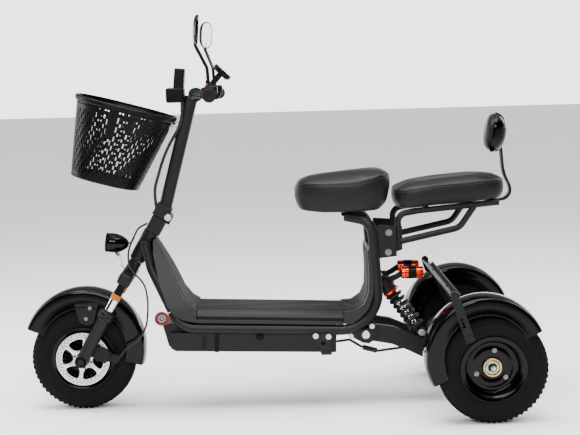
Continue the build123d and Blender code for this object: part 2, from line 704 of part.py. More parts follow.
seat_tilt = 4.6
seat_plane = Plane(
    origin=(84, 0, 636),
    x_dir=(cos(radians(seat_tilt)), 0, -sin(radians(seat_tilt))),
    z_dir=(sin(radians(seat_tilt)), 0, cos(radians(seat_tilt))),
)
rear_seat = extrude(Pos(0, 0, -36) * RectangleRounded(320, 2 * rear_seat_half_width, 55), 70)
rear_seat = fillet(rear_seat.edges().group_by(Axis.Z)[-1], 18)
rear_seat = seat_plane * fillet(rear_seat.edges().group_by(Axis.Z)[0], 8)
save("rear_seat", rear_seat)

# Rack: two bent loops, three cross bars and the foot blocks bolted to the frame plates
rail_points = [
    (238, rack_half_width, 470),
    (240, rack_half_width, 574),
    (180, rack_half_width, 583.5),
    (-58, rack_half_width, 602.5),
]
low_points = [
    (232, rack_half_width, 494),
    (58, rack_half_width, 530),
    (12, rack_half_width, 596),
]
rack = None
for side in (1, -1):
    rail = bent_tube([(x, side * y, z) for x, y, z in rail_points], 28, rack_tube_radius)
    low = bent_tube([(x, side * y, z) for x, y, z in low_points], 40, rack_tube_radius)
    foot = side_plate([(284, 535), (284, 452), (228, 470), (228, 540)], side * 87.5 - 4, side * 87.5 + 4)
    half = rail + low + foot
    rack = half if rack is None else rack + half
for x, z in ((150, 585.8), (-40, 601)):
    rack = rack + rod((x, -rack_half_width, z), (x, rack_half_width, z), 7)
rack = rack + rod((239, -rack_half_width, 510), (239, rack_half_width, 510), 8)
rack = rack - seat_plane * Pos(0, 0, -36.3 + 50) * Box(400, 400, 100)
save("rack", rack)

# Backrest: flat bar, rounded shell and pad
bar_outline = [
    (-47.3, 0, 601), (-98, 0, 604), (-116, 0, 642), (-88, 0, 690), (-79, 0, 762),
]
bar_path = FilletPolyline(*bar_outline, radius=16)
bar_start = Plane(origin=bar_path @ 0, x_dir=(0, 1, 0), z_dir=bar_path % 0)
flat_bar = sweep(bar_start * Rectangle(30, 6), path=bar_path)
backrest_lean = 9.0
backrest_plane = Plane(
    origin=(-84, 0, 800),
    x_dir=(0, 1, 0),
    z_dir=(cos(radians(backrest_lean)), 0, -sin(radians(-backrest_lean))),
)
back_shell = extrude(RectangleRounded(206, 122, 55), 22)
back_shell = backrest_plane * fillet(back_shell.edges().group_by(Axis.Z)[0], 9)
back_pad = extrude(Pos(0, 0, 22 + seat_gap) * RectangleRounded(198, 114, 52), 30)
back_pad = backrest_plane * fillet(back_pad.edges().group_by(Axis.Z)[-1], 12)
save("backrest_frame", (flat_bar + back_shell) - rack)
save("backrest_pad", back_pad)

# Coil-over shocks: body, rod, eyes, coil sleeve and the remote reservoir
shock_way = (Vector(shock_foot_x, 0, shock_foot_z) - Vector(shock_top_x, 0, shock_top_z)).normalized()


def shock_spot(distance):
    spot = Vector(shock_top_x, shock_y, shock_top_z) + shock_way * distance
    return (spot.X, spot.Y, spot.Z)


shock_length = hypot(shock_top_x - shock_foot_x, shock_top_z - shock_foot_z)
shock = rod(shock_spot(0), shock_spot(shock_length), 7)
shock = shock + rod(shock_spot(22), shock_spot(62), 22)
shock = shock + rod(shock_spot(62), shock_spot(70), 25)
shock = shock + rod(shock_spot(shock_length - 30), shock_spot(shock_length - 22), 25)
shock = shock + cross_disc(shock_top_x, shock_top_z, 13, shock_y - 11, shock_y + 11)
shock = shock + cross_disc(shock_foot_x, shock_foot_z, 13, shock_y - 11, shock_y + 11)
shock = shock + rod((262, shock_y + 4, 378), (230, shock_y + 12, 394), 9)
shock = shock + rod((230, shock_y + 14, 397), (164, shock_y + 14, 397), 18)
save("shock_left", shock)
save("shock_right", mirrored(shock))
spring_turns = 6
spring_height = shock_length - 100 - 2 * seat_gap
turn_height = spring_height / spring_turns
coil_points = [(7.3, 0), (17, 0)]
for number in range(spring_turns):
    low = number * turn_height
    coil_points = coil_points + [(22.5, low + turn_height * 0.2), (24.5, low + turn_height * 0.4)]
    coil_points = coil_points + [(22.5, low + turn_height * 0.6), (17, low + turn_height * 0.8)]
coil_points = coil_points + [(17, spring_height), (7.3, spring_height)]
spring_plane = Plane(origin=shock_spot(70 + seat_gap), x_dir=(0, 1, 0), z_dir=shock_way)
spring_face = spring_plane * (Plane.XZ * make_face(Polyline(*coil_points, close=True)))
spring = revolve(spring_face, axis=Axis(spring_plane.origin, spring_plane.z_dir), revolution_arc=360)
save("spring_left", spring)
save("spring_right", mirrored(spring))

# Swing arm: two boxed arms, pivot tube, shock beam, axle tube and the bracket posts of the fender bar
bridge_angle = 62.77
bridge_reach = fender_radius + 19.3
bridge_x = fender_centre_x + bridge_reach * cos(radians(bridge_angle))
bridge_z = fender_centre_z + bridge_reach * sin(radians(bridge_angle))
arm_outline = [
    (pivot_x, 244), (300, 244), (257, 237), (168, 197), (30, tyre_radius + 26.6), (-26, tyre_radius + 14.6),
    (-26, tyre_radius - 15.4), (40, tyre_radius - 25.4), (168, 141), (216, 165), (263, 185), (321, 196),
    (pivot_x, 196),
]
axle_tube_end = half_track - 69
swing_arm = cross_disc(0, tyre_radius, 26, -axle_tube_end, axle_tube_end)
for side in (1, -1):
    inner = side * arm_half_width - 10
    outer = side * arm_half_width + 10
    arm = side_plate(arm_outline, inner, outer) + cross_disc(pivot_x, pivot_z, 24, inner, outer)
    swing_arm = swing_arm + arm
swing_arm = swing_arm + cross_disc(pivot_x, pivot_z, 13, -91.7, 91.7)
swing_arm = swing_arm + cross_disc(shock_foot_x - 4, shock_foot_z - 32, 14, -arm_half_width, arm_half_width)
for side in (1, -1):
    for offset in (-14, 14):
        lug_y = side * shock_y + offset
        lug = side_plate([(184, 222), (160, 222), (152, 180), (184, 180)], lug_y - 2.5, lug_y + 2.5)
        swing_arm = swing_arm + lug
for side in (1, -1):
    post = side_plate(
        [
            (22, tyre_radius + 12.6), (bridge_x + 4, bridge_z - 14.5),
            (bridge_x - 10, bridge_z - 8.5), (-6, tyre_radius + 14.6),
        ],
        side * (half_track - 93) - 3, side * (half_track - 93) + 3,
    )
    swing_arm = swing_arm + post
swing_arm = swing_arm - cross_disc(0, tyre_radius, axle_radius + bearing_fit, -axle_tube_end - 10, axle_tube_end + 10)
swing_arm = swing_arm - cross_disc(pivot_x, pivot_z, 8 + bearing_fit, -250, 250)
save("swing_arm", swing_arm)

# Motor and reduction case hung around the axle tube
drive = cross_disc(96, tyre_radius + 38.6, 54, -40, 40) + cross_disc(40, tyre_radius + 14.6, 62, -22, 22)
drive = drive - swing_arm - cross_disc(0, tyre_radius, 26 + seat_gap, -60, 60)
drive = drive - cross_disc(shock_foot_x - 4, shock_foot_z - 32, 14 + seat_gap, -80, 80)
save("drive_unit", drive)

# Rear axle shaft, its splined ends proud of both hubs
axle_end = half_track + 34
rear_axle = cross_disc(0, tyre_radius, axle_radius, -axle_end, axle_end)
save("rear_axle", rear_axle)

pivot_bolt = cross_disc(pivot_x, pivot_z, 8, -frame_half_width - 5, frame_half_width + 5)
for side in (1, -1):
    head_middle = side * (frame_half_width + 6.7)
    pivot_bolt = pivot_bolt + cross_disc(pivot_x, pivot_z, 12, head_middle - 3.4, head_middle + 3.4)
save("pivot_bolt", pivot_bolt)

# Bar across both rear fenders, with a strut down the outside of each
strut_y = half_track + fender_half_width + 2.3
bar_width = 30.0
bar_thickness = 5.0
bar_plane = Pos(bridge_x, 0, bridge_z) * Rot(0, -28, 0)
bridge = Box(bar_width, 2 * strut_y + 4, bar_thickness)
bridge = bridge + Pos(-bar_width / 2 + 1.5, 0, bar_thickness / 2 + 4) * Box(3, 2 * strut_y - 60, 12)
for side in (1, -1):
    for slot_y in (half_track + 20, half_track - 40, half_track - 130):
        slot = extrude(Pos(1, side * slot_y, -10) * Rot(0, 0, 90) * SlotOverall(36, 9), 20)
        bridge = bridge - slot
bridge = bar_plane * bridge
for side in (1, -1):
    strut = side_plate(
        [
            (bridge_x + 14, bridge_z), (bridge_x - 12, bridge_z),
            (55, fender_centre_z + 51), (80, fender_centre_z + 41),
        ],
        side * strut_y - 2, side * strut_y + 2,
    )
    strut_low, strut_high = sorted((side * (strut_y - 5), side * (strut_y + 5)))
    for along in (-11, 0, 11):
        strut = strut - cross_disc(
            bridge_x - 19 + along * cos(radians(74)), bridge_z - 70 + along * sin(radians(74)), 4.5, strut_low, strut_high
        )
    boss_low, boss_high = sorted((side * (strut_y - 12), side * (strut_y + 2)))
    head_low, head_high = sorted((side * strut_y, side * (strut_y + 5)))
    bridge = bridge + strut + cross_disc(bridge_x + 4, bridge_z + 8, 11, boss_low, boss_high)
    bridge = bridge + cross_disc(72, fender_centre_z + 58, 8, head_low, head_high)
fender_cut = spun([(-70, 100), (-70, fender_radius + 0.4), (70, fender_radius + 0.4), (70, 100)],
                  fender_centre_x, half_track, fender_centre_z)
save("fender_bridge", bridge)

# Charging and motor lead between the battery box and the swing arm
cable_points = [(424, 0, 180), (385, 6, 186), (352, 10, 166), (300, 12, 150), (236, 14, 158), (176, 14, 168)]
cable = bent_tube(cable_points, 12, 4)
cable = cable + rod((345, 10.4, 162.5), (303, 11.9, 150.9), 8)
save("rear_cable", cable)
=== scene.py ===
import bpy
import bmesh
import math
from mathutils import Matrix, Vector
from mathutils.bvhtree import BVHTree
from mathutils.kdtree import KDTree


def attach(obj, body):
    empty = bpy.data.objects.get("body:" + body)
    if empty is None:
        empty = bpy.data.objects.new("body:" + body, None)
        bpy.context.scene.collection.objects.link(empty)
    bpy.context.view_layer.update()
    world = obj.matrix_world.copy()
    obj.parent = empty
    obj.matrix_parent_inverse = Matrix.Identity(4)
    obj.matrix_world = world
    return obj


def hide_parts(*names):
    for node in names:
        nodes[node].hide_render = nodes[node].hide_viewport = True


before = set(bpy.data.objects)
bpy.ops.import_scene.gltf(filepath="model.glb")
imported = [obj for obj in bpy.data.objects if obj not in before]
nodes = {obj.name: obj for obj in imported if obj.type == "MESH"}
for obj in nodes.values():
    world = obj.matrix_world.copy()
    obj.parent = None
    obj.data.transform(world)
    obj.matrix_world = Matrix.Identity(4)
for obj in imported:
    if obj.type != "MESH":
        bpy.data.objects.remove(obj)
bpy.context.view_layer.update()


print("trike: frame loaded,", len(nodes), "nodes")

# Drawing measures are millimetres from the ground below the rear axle, X forward, Y left, Z up
middleX = 599.5
wheelbase = 1189.0
tyreRadius = 157.4
halfTrack = 283.0
rake = math.radians(30)
bothSides = (("Left", 1), ("Right", -1))


def mm(value):
    return value / 1000


def scaled(pairs):
    return [(mm(a), mm(b)) for a, b in pairs]


def at(x, y, z):
    return Vector(((x - middleX) / 1000, y / 1000, z / 1000))


def steerAt(along, across=0.0, y=0.0):
    x = wheelbase - math.sin(rake) * along + math.cos(rake) * across
    z = tyreRadius + math.cos(rake) * along + math.sin(rake) * across
    return at(x, y, z)


def linked(item):
    bpy.context.collection.objects.link(item)
    return item


def addNode(tree, kind, **parts):
    # small letters set the node itself, capitals feed a socket by its name, i0 and i1 by its place
    node = tree.nodes.new(kind)
    for key, value in parts.items():
        if key[0].isupper():
            socket = node.inputs[key.replace("_", " ")]
        elif key[1:].isdigit():
            socket = node.inputs[int(key[1:])]
        else:
            setattr(node, key, value)
            continue
        if isinstance(value, bpy.types.NodeSocket):
            tree.links.new(value, socket)
        else:
            socket.default_value = value
    return node


def mathNode(tree, operation, *values):
    feeds = {"i%d" % index: value for index, value in enumerate(values)}
    return addNode(tree, "ShaderNodeMath", operation=operation, **feeds).outputs[0]


def spread(tree, value, low, high):
    return addNode(tree, "ShaderNodeMapRange", Value=value, To_Min=low, To_Max=high).outputs["Result"]


# Camera at the photograph's angle
cameraSet = {"x": 584.0, "away": 3669.1, "high": 988.6, "pan": 0.442, "tilt": 6.611, "roll": -1.522,
             "lens": 76.26}


def makeCamera(s):
    pan, tilt, roll = (math.radians(s[k]) for k in ("pan", "tilt", "roll"))
    ahead = Vector((-math.sin(pan) * math.cos(tilt), -math.cos(pan) * math.cos(tilt), -math.sin(tilt)))
    right = Vector((-math.cos(pan), math.sin(pan), 0.0))
    up = right.cross(ahead)
    sideways = right * math.cos(roll) + up * math.sin(roll)
    upright = up * math.cos(roll) - right * math.sin(roll)
    data = bpy.data.cameras.new("photoCamera")
    data.lens = s["lens"]
    data.sensor_width = 36.0
    data.clip_end = 50.0
    cam = linked(bpy.data.objects.new("photoCamera", data))
    turn = Matrix((sideways, upright, -ahead)).transposed()
    cam.matrix_world = Matrix.Translation(at(s["x"], s["away"], s["high"])) @ turn.to_4x4()
    bpy.context.scene.camera = cam


makeCamera(cameraSet)

# Pale floor and soft studio light: each box has its place in metres, width, height and power
studioSet = {
    "floorTone": 0.94, "floorSize": 60.0, "floorRough": (0.62, 0.7), "horizon": 3.2, "behind": 0.35,
    "cameraSide": 0.06, "bandTop": 0.075, "overhead": 2.6, "aim": (0, 0, 0.4),
    "boxes": {"topBox": ((0.2, 0.5, 3.2), 3.0, 1.6, 190), "cameraSideBox": ((0.5, 3.4, 2.2), 2.2, 0.8, 120),
              "rearBox": ((-2.6, -1.2, 2.0), 1.4, 1.6, 50), "frontBox": ((2.8, -0.6, 1.4), 0.9, 1.8, 50)},
}


def makeFloor(s):
    half = s["floorSize"] / 2
    mesh = bpy.data.meshes.new("studioFloor")
    mesh.from_pydata([(-half, -half, 0), (half, -half, 0), (half, half, 0), (-half, half, 0)], [],
                     [(0, 1, 2, 3)])
    floor = linked(bpy.data.objects.new("studioFloor", mesh))
    mat = bpy.data.materials.new("paleFloor")
    mat.use_nodes = True
    tree = mat.node_tree
    shader = tree.nodes["Principled BSDF"]
    noise = addNode(tree, "ShaderNodeTexNoise", Scale=6.0)
    tree.links.new(spread(tree, noise.outputs["Fac"], *s["floorRough"]), shader.inputs["Roughness"])
    shader.inputs["Base Color"].default_value = (s["floorTone"],) * 3 + (1,)
    shader.inputs["Specular IOR Level"].default_value = 0.2
    mesh.materials.append(mat)


def makeSoftbox(name, place, width, height, power, aim):
    data = bpy.data.lights.new(name, "AREA")
    data.shape = "RECTANGLE"
    data.size = width
    data.size_y = height
    data.energy = power
    light = linked(bpy.data.objects.new(name, data))
    light.location = place
    light.rotation_euler = (Vector(aim) - Vector(place)).to_track_quat("-Z", "Y").to_euler()


def makeSky(s):
    # a low bright band behind the object, a dimmer cove above it and a dark room on the camera's side
    world = bpy.data.worlds.new("studioSky")
    world.use_nodes = True
    tree = world.node_tree
    back = tree.nodes["Background"]
    back.inputs["Color"].default_value = (1, 1, 1, 1)
    coords = addNode(tree, "ShaderNodeTexCoord")
    split = addNode(tree, "ShaderNodeSeparateXYZ", Vector=coords.outputs["Generated"])
    bands = [addNode(tree, "ShaderNodeMapRange", interpolation_type="SMOOTHSTEP", Value=split.outputs[axis],
                     From_Min=start, From_Max=end, To_Min=low, To_Max=high).outputs["Result"]
             for axis, start, end, low, high in (
                 ("Y", -0.45, 0.35, 1.0, s["cameraSide"]),
                 ("Z", s["bandTop"], s["bandTop"] * 2, s["horizon"], s["behind"]),
                 ("Z", 0.6, 0.98, 0.0, s["overhead"]))]
    tree.links.new(mathNode(tree, "MULTIPLY_ADD", *bands), back.inputs["Strength"])
    bpy.context.scene.world = world


makeFloor(studioSet)
makeSky(studioSet)
for name, (place, width, height, power) in studioSet["boxes"].items():
    makeSoftbox(name, place, width, height, power, studioSet["aim"])
print("trike: studio set")


# Shader node groups shared by the finishes
def makeGroup(name, inputs, outputs):
    group = bpy.data.node_groups.new(name, "ShaderNodeTree")
    for label, value in inputs.items():
        socket = group.interface.new_socket(label, in_out="INPUT", socket_type="NodeSocketFloat")
        socket.default_value = value
    for label in outputs:
        group.interface.new_socket(label, in_out="OUTPUT", socket_type="NodeSocketFloat")
    place = addNode(group, "ShaderNodeTexCoord").outputs["Object"]
    return group, addNode(group, "NodeGroupInput").outputs, addNode(group, "NodeGroupOutput").inputs, place


def makeSurfaceGroup():
    # slow mottling for tone and roughness, fine grain for the bump
    inputs = {"Mottle Scale": 9.0, "Grain Scale": 900.0, "Grain Depth": 0.5}
    group, get, give, place = makeGroup("surfaceGrain", inputs, ["Mottle", "Height"])
    mottle = addNode(group, "ShaderNodeTexNoise", Detail=4.0, Vector=place, Scale=get["Mottle Scale"])
    grain = addNode(group, "ShaderNodeTexNoise", Detail=2.0, Vector=place, Scale=get["Grain Scale"])
    group.links.new(mottle.outputs["Fac"], give["Mottle"])
    group.links.new(mathNode(group, "MULTIPLY", grain.outputs["Fac"], get["Grain Depth"]), give["Height"])
    return group


def makeDustGroup():
    # light dust that gathers on faces that look up
    group, get, give, place = makeGroup("restingDust", {"Amount": 0.12, "Scale": 35.0}, ["Dust"])
    geometry = addNode(group, "ShaderNodeNewGeometry")
    split = addNode(group, "ShaderNodeSeparateXYZ", Vector=geometry.outputs["Normal"])
    speck = addNode(group, "ShaderNodeTexNoise", Detail=6.0, Vector=place, Scale=get["Scale"])
    lifted = mathNode(group, "MAXIMUM", split.outputs["Z"], 0.0)
    patchy = mathNode(group, "MULTIPLY", lifted, speck.outputs["Fac"])
    group.links.new(mathNode(group, "MULTIPLY", patchy, get["Amount"]), give["Dust"])
    return group


def makeLeatherGroup():
    # pebbled cells with fine creases between them
    group, get, give, place = makeGroup("leatherPebble", {"Scale": 330.0, "Crease": 0.5}, ["Height", "Shine"])
    cells = addNode(group, "ShaderNodeTexVoronoi", feature="DISTANCE_TO_EDGE", Vector=place,
                    Scale=get["Scale"])
    warp = addNode(group, "ShaderNodeTexNoise", Vector=place, Scale=60.0)
    slow = addNode(group, "ShaderNodeTexNoise", Vector=place, Scale=14.0)
    pebble = spread(group, cells.outputs["Distance"], 0.0, 1.0)
    creased = mathNode(group, "MULTIPLY", warp.outputs["Fac"], get["Crease"])
    group.links.new(mathNode(group, "ADD", pebble, creased), give["Height"])
    group.links.new(slow.outputs["Fac"], give["Shine"])
    return group


grainGroup = makeSurfaceGroup()
dustGroup = makeDustGroup()
leatherGroup = makeLeatherGroup()
dustTone = (0.34, 0.33, 0.31, 1)


def makeFinish(name, tone, rough, bump, metallic=0.0, grainScale=900.0, dust=0.0, coat=0.0, toneShift=0.12,
               group=None, specular=0.5, distance=0.0004):
    mat = bpy.data.materials.new(name)
    mat.use_nodes = True
    tree = mat.node_tree
    shader = tree.nodes["Principled BSDF"]
    grain = addNode(tree, "ShaderNodeGroup", node_tree=group or grainGroup)
    grain.inputs["Scale" if group else "Grain Scale"].default_value = grainScale
    slow = grain.outputs["Shine" if group else "Mottle"]
    low = tuple(c * (1 - toneShift) for c in tone)
    high = tuple(min(1.0, c * (1 + toneShift)) for c in tone)
    mix = addNode(tree, "ShaderNodeMix", data_type="RGBA", A=(*low, 1), B=(*high, 1), Factor=slow)
    colour = mix.outputs["Result"]
    if dust > 0:
        film = addNode(tree, "ShaderNodeGroup", node_tree=dustGroup, Amount=dust)
        over = addNode(tree, "ShaderNodeMix", data_type="RGBA", A=colour, B=dustTone,
                       Factor=film.outputs["Dust"])
        colour = over.outputs["Result"]
    raised = addNode(tree, "ShaderNodeBump", Strength=bump, Distance=distance, Height=grain.outputs["Height"])
    for label, source in (("Base Color", colour), ("Roughness", spread(tree, slow, *rough)),
                          ("Normal", raised.outputs["Normal"])):
        tree.links.new(source, shader.inputs[label])
    values = {"Metallic": metallic, "Specular IOR Level": specular}
    if coat > 0:
        values.update({"Coat Weight": coat, "Coat Roughness": 0.04})
    for label, value in values.items():
        shader.inputs[label].default_value = value
    return mat


# Each finish: tone, range of roughness, strength of the bump, and what differs from the usual
finishTable = {
    "satinFrame": ((0.006, 0.0063, 0.0072), (0.32, 0.46), 0.1, dict(dust=0.005, specular=0.15)),
    "glossBlack": ((0.0010, 0.0010, 0.0012), (0.05, 0.12), 0.01, dict(coat=0.05, specular=0.12)),
    "tyreRubber": ((0.004, 0.004, 0.0042), (0.6, 0.8), 0.35, dict(grainScale=500, dust=0.006, specular=0.07)),
    "deckPlastic": ((0.013, 0.013, 0.014), (0.38, 0.54), 0.25,
                    dict(grainScale=1300, dust=0.015, specular=0.18)),
    "blackPlastic": ((0.002, 0.002, 0.0022), (0.28, 0.44), 0.12, dict(grainScale=1200, specular=0.08)),
    "softRubber": ((0.006, 0.006, 0.0063), (0.55, 0.75), 0.25, dict(grainScale=800, specular=0.1)),
    "discSteel": ((0.62, 0.61, 0.60), (0.26, 0.42), 0.08, dict(metallic=1.0, toneShift=0.06)),
    "chrome": ((0.82, 0.82, 0.84), (0.05, 0.12), 0.01, dict(metallic=1.0, toneShift=0.04)),
    "zincSteel": ((0.55, 0.55, 0.56), (0.28, 0.46), 0.1, dict(metallic=1.0)),
    "goldZinc": ((0.62, 0.44, 0.17), (0.25, 0.42), 0.1, dict(metallic=1.0, toneShift=0.25)),
    "orangeSeal": ((0.40, 0.095, 0.001), (0.3, 0.42), 0.04, dict(toneShift=0.06, specular=0.25)),
    "hornRed": ((0.24, 0.004, 0.002), (0.3, 0.42), 0.04, dict(toneShift=0.06, specular=0.25)),
    "redAnodised": ((0.66, 0.035, 0.006), (0.18, 0.3), 0.04, dict(metallic=0.9, toneShift=0.06)),
    "leather": ((0.0045, 0.0045, 0.005), (0.36, 0.5), 0.3,
                dict(specular=0.17, group=leatherGroup, grainScale=420.0, distance=0.0005)),
    "greyThread": ((0.06, 0.06, 0.062), (0.5, 0.7), 0.2, dict(specular=0.3)),
    "darkZinc": ((0.17, 0.18, 0.15), (0.3, 0.5), 0.1, dict(metallic=1.0, toneShift=0.3)),
    "castBlack": ((0.006, 0.006, 0.0063), (0.42, 0.6), 0.4, dict(grainScale=600, dust=0.008, specular=0.14)),
    "mirrorGlass": ((0.75, 0.77, 0.8), (0.02, 0.05), 0.0, dict(metallic=1.0, toneShift=0.02)),
    "redSwitch": ((0.62, 0.02, 0.02), (0.3, 0.42), 0.05, dict(toneShift=0.05)),
    "orangeSwitch": ((0.95, 0.42, 0.02), (0.3, 0.42), 0.05, dict(toneShift=0.05)),
    "screenGlass": ((0.004, 0.004, 0.005), (0.03, 0.08), 0.0, dict(coat=1.0)),
    "cableBlack": ((0.006, 0.006, 0.0065), (0.4, 0.55), 0.15, dict(grainScale=700, specular=0.3)),
    "hornWhite": ((0.62, 0.62, 0.6), (0.35, 0.5), 0.05, {}),
    "lampLens": ((0.82, 0.85, 0.88), (0.04, 0.1), 0.0, dict(coat=0.6)),
    "springSteel": ((0.012, 0.012, 0.013), (0.18, 0.3), 0.05, dict(coat=0.3)),
}
finishes = {name: makeFinish(name, *row[:3], **row[3]) for name, row in finishTable.items()}

# Nodes that are not named here are frame and get the satin finish
nodeTable = {
    "tyreRubber": "front_tyre rear_tyre_left rear_tyre_right",
    "glossBlack": "front_rim rear_rim_left rear_rim_right front_fender rear_fender_left "
                  "rear_fender_right headlight backrest_frame",
    "discSteel": "brake_disc",
    "zincSteel": "rear_axle pivot_bolt headlight_bracket horn basket_bracket",
    "blackPlastic": "fork_upper control_left control_right holder display mirror_left mirror_right basket",
    "castBlack": "front_axle brake_caliper shock_left shock_right drive_unit",
    "softRubber": "grip_left grip_right",
    "deckPlastic": "deck_floor deck_front deck_rear",
    "leather": "saddle rear_seat backrest_pad",
    "springSteel": "spring_left spring_right",
    "cableBlack": "rear_cable stem_harness brake_hose lamp_wire",
}
nodeFinish = {node: finish for finish, row in nodeTable.items() for node in row.split()}
for nodeName, node in nodes.items():
    node.data.materials.clear()
    node.data.materials.append(finishes[nodeFinish.get(nodeName, "satinFrame")])
print("trike: finishes made")


# Mesh helpers
def settled(name, mesh, finish, body, sharp, stands, merge=0.0):
    work = bmesh.new()
    work.from_mesh(mesh)
    if merge:
        bmesh.ops.remove_doubles(work, verts=work.verts, dist=merge)
    bmesh.ops.recalc_face_normals(work, faces=work.faces)
    work.to_mesh(mesh)
    work.free()
    mesh.polygons.foreach_set("use_smooth", [True] * len(mesh.polygons))
    mesh.set_sharp_from_angle(angle=math.radians(sharp))
    mesh.materials.clear()
    mesh.materials.append(finishes[finish])
    piece = linked(bpy.data.objects.new(name, mesh))
    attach(piece, body)
    if stands:
        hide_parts(*stands)
    return piece


def addPiece(name, verts, faces, finish, body, sharp=35.0, stands=()):
    mesh = bpy.data.meshes.new(name)
    mesh.from_pydata([tuple(v) for v in verts], [], faces)
    return settled(name, mesh, finish, body, sharp, stands, 1e-6)


def bevelled(piece, width, segments=2, angle=30.0):
    mod = piece.modifiers.new("softEdges", "BEVEL")
    mod.width = width
    mod.segments = segments
    mod.limit_method = "ANGLE"
    mod.angle_limit = math.radians(angle)
    return piece


def joinShapes(parts):
    verts, faces = [], []
    for partVerts, partFaces in parts:
        base = len(verts)
        verts += list(partVerts)
        faces += [tuple(i + base for i in face) for face in partFaces]
    return verts, faces


def ringFaces(rings, width, closed=False):
    # quads between rings of points that follow one another
    faces = []
    for index in range(rings if closed else rings - 1):
        after = (index + 1) % rings
        for k in range(width):
            kk = (k + 1) % width
            faces.append((index * width + k, index * width + kk, after * width + kk, after * width + k))
    return faces


def capFaces(rings, width, forward=False):
    first, last = list(range(width)), [(rings - 1) * width + k for k in range(width)]
    return [tuple(first), tuple(last[::-1])] if forward else [tuple(first[::-1]), tuple(last)]


def boxShape(place, low, high):
    verts = [place(x, y, z) for x in (low[0], high[0]) for y in (low[1], high[1]) for z in (low[2], high[2])]
    return verts, [(0, 1, 3, 2), (4, 6, 7, 5), (0, 4, 5, 1), (2, 3, 7, 6), (0, 2, 6, 4), (1, 5, 7, 3)]


def roundedPath(points, bends, steps=9):
    # straight runs joined by arcs, with one bend radius for all inner corners or one for each
    points = [Vector(p) for p in points]
    if isinstance(bends, (int, float)):
        bends = [bends] * (len(points) - 2)
    path = [points[0]]
    for before, corner, after, radius in zip(points, points[1:], points[2:], bends):
        back, ahead = (before - corner).normalized(), (after - corner).normalized()
        half = back.angle(ahead) / 2
        reach = radius / math.tan(half)
        middle = corner + (back + ahead).normalized() * (radius / math.sin(half))
        first = corner + back * reach - middle
        last = corner + ahead * reach - middle
        turn = first.angle(last)
        for step in range(steps + 1):
            share = step / steps
            mixed = (first * math.sin(turn * (1 - share)) + last * math.sin(turn * share)) / math.sin(turn)
            path.append(middle + mixed)
    path.append(points[-1])
    return path


def sweptShape(path, section, side=(0, 1, 0), closed=False, scales=None):
    # section points are (sideways, upward) offsets carried along the path without twisting
    path = [Vector(p) for p in path]
    count = len(path)
    verts = []
    across = Vector(side)
    for index, spot in enumerate(path):
        before = path[index - 1] if index > 0 or closed else path[0]
        after = path[(index + 1) % count] if index < count - 1 or closed else path[-1]
        ahead = (after - before).normalized()
        across = (across - ahead * across.dot(ahead)).normalized()
        upward = ahead.cross(across)
        size = scales[index] if scales else 1.0
        for offset in section:
            verts.append(spot + across * (offset[0] * size) + upward * (offset[1] * size))
    faces = ringFaces(count, len(section), closed)
    return verts, faces if closed else faces + capFaces(count, len(section))


def circleSection(radius, sides=20, x=0, y=0):
    turns = [2 * math.pi * k / sides for k in range(sides)]
    return [(x + radius * math.cos(angle), y + radius * math.sin(angle)) for angle in turns]


def roundedSection(width, height, corner, steps=5):
    points = []
    for cx, cy, start in ((1, 1, 0), (-1, 1, 90), (-1, -1, 180), (1, -1, 270)):
        for step in range(steps + 1):
            angle = math.radians(start + 90 * step / steps)
            points.append((cx * (width / 2 - corner) + corner * math.cos(angle),
                           cy * (height / 2 - corner) + corner * math.sin(angle)))
    return points


def tubeShape(points, bends, radius, sides=20, steps=9):
    return sweptShape(roundedPath(points, bends, steps), circleSection(radius, sides))


def rodShape(start, end, radius, sides=24):
    way = (Vector(end) - Vector(start)).normalized()
    side = (0, 1, 0) if abs(way.y) < 0.9 else (1, 0, 0)
    return sweptShape([start, end], circleSection(radius, sides), side)


def latheShape(profile, centre, axis=(0, 1, 0), segments=64, start=0.0, turn=360.0, forward=(1, 0, 0)):
    # profile points are (along the axis, distance from it) in millimetres
    centre, axis, forward = Vector(centre), Vector(axis).normalized(), Vector(forward)
    forward = (forward - axis * forward.dot(axis)).normalized()
    rising = forward.cross(axis)
    full = abs(turn - 360.0) < 1e-6
    rings = segments if full else segments + 1
    verts = []
    for index in range(rings):
        angle = math.radians(start + turn * index / segments)
        outward = forward * math.cos(angle) + rising * math.sin(angle)
        verts += [centre + axis * along + outward * away for along, away in scaled(profile)]
    faces = ringFaces(rings, len(profile), full)
    return verts, faces if full else faces + capFaces(rings, len(profile), True)


def addTurned(name, profile, centre, axis, segments, finish, body, sharp=35.0, stands=(), forward=(1, 0, 0)):
    shape = latheShape(profile, centre, axis, segments, forward=forward)
    return addPiece(name, *shape, finish, body, sharp, stands)


def smoothLine(points, steps=6):
    # Catmull-Rom through the points, for profiles and outlines
    points = [Vector((*p, 0)[:3]) for p in points]
    padded = [points[0] * 2 - points[1]] + points + [points[-1] * 2 - points[-2]]
    line = []
    for i in range(1, len(padded) - 2):
        p0, p1, p2, p3 = padded[i - 1:i + 3]
        for step in range(steps):
            t = step / steps
            line.append(0.5 * ((2 * p1) + (p2 - p0) * t + (2 * p0 - 5 * p1 + 4 * p2 - p3) * t * t
                               + (3 * p1 - p0 - 3 * p2 + p3) * t * t * t))
    line.append(points[-1])
    return line


def prismShape(outline, low, high):
    # outline points are (x, z)
    count = len(outline)
    verts = [at(x, y, z) for y in (low, high) for x, z in outline]
    faces = [tuple(range(count)), tuple(range(2 * count - 1, count - 1, -1))]
    return verts, faces + ringFaces(2, count)


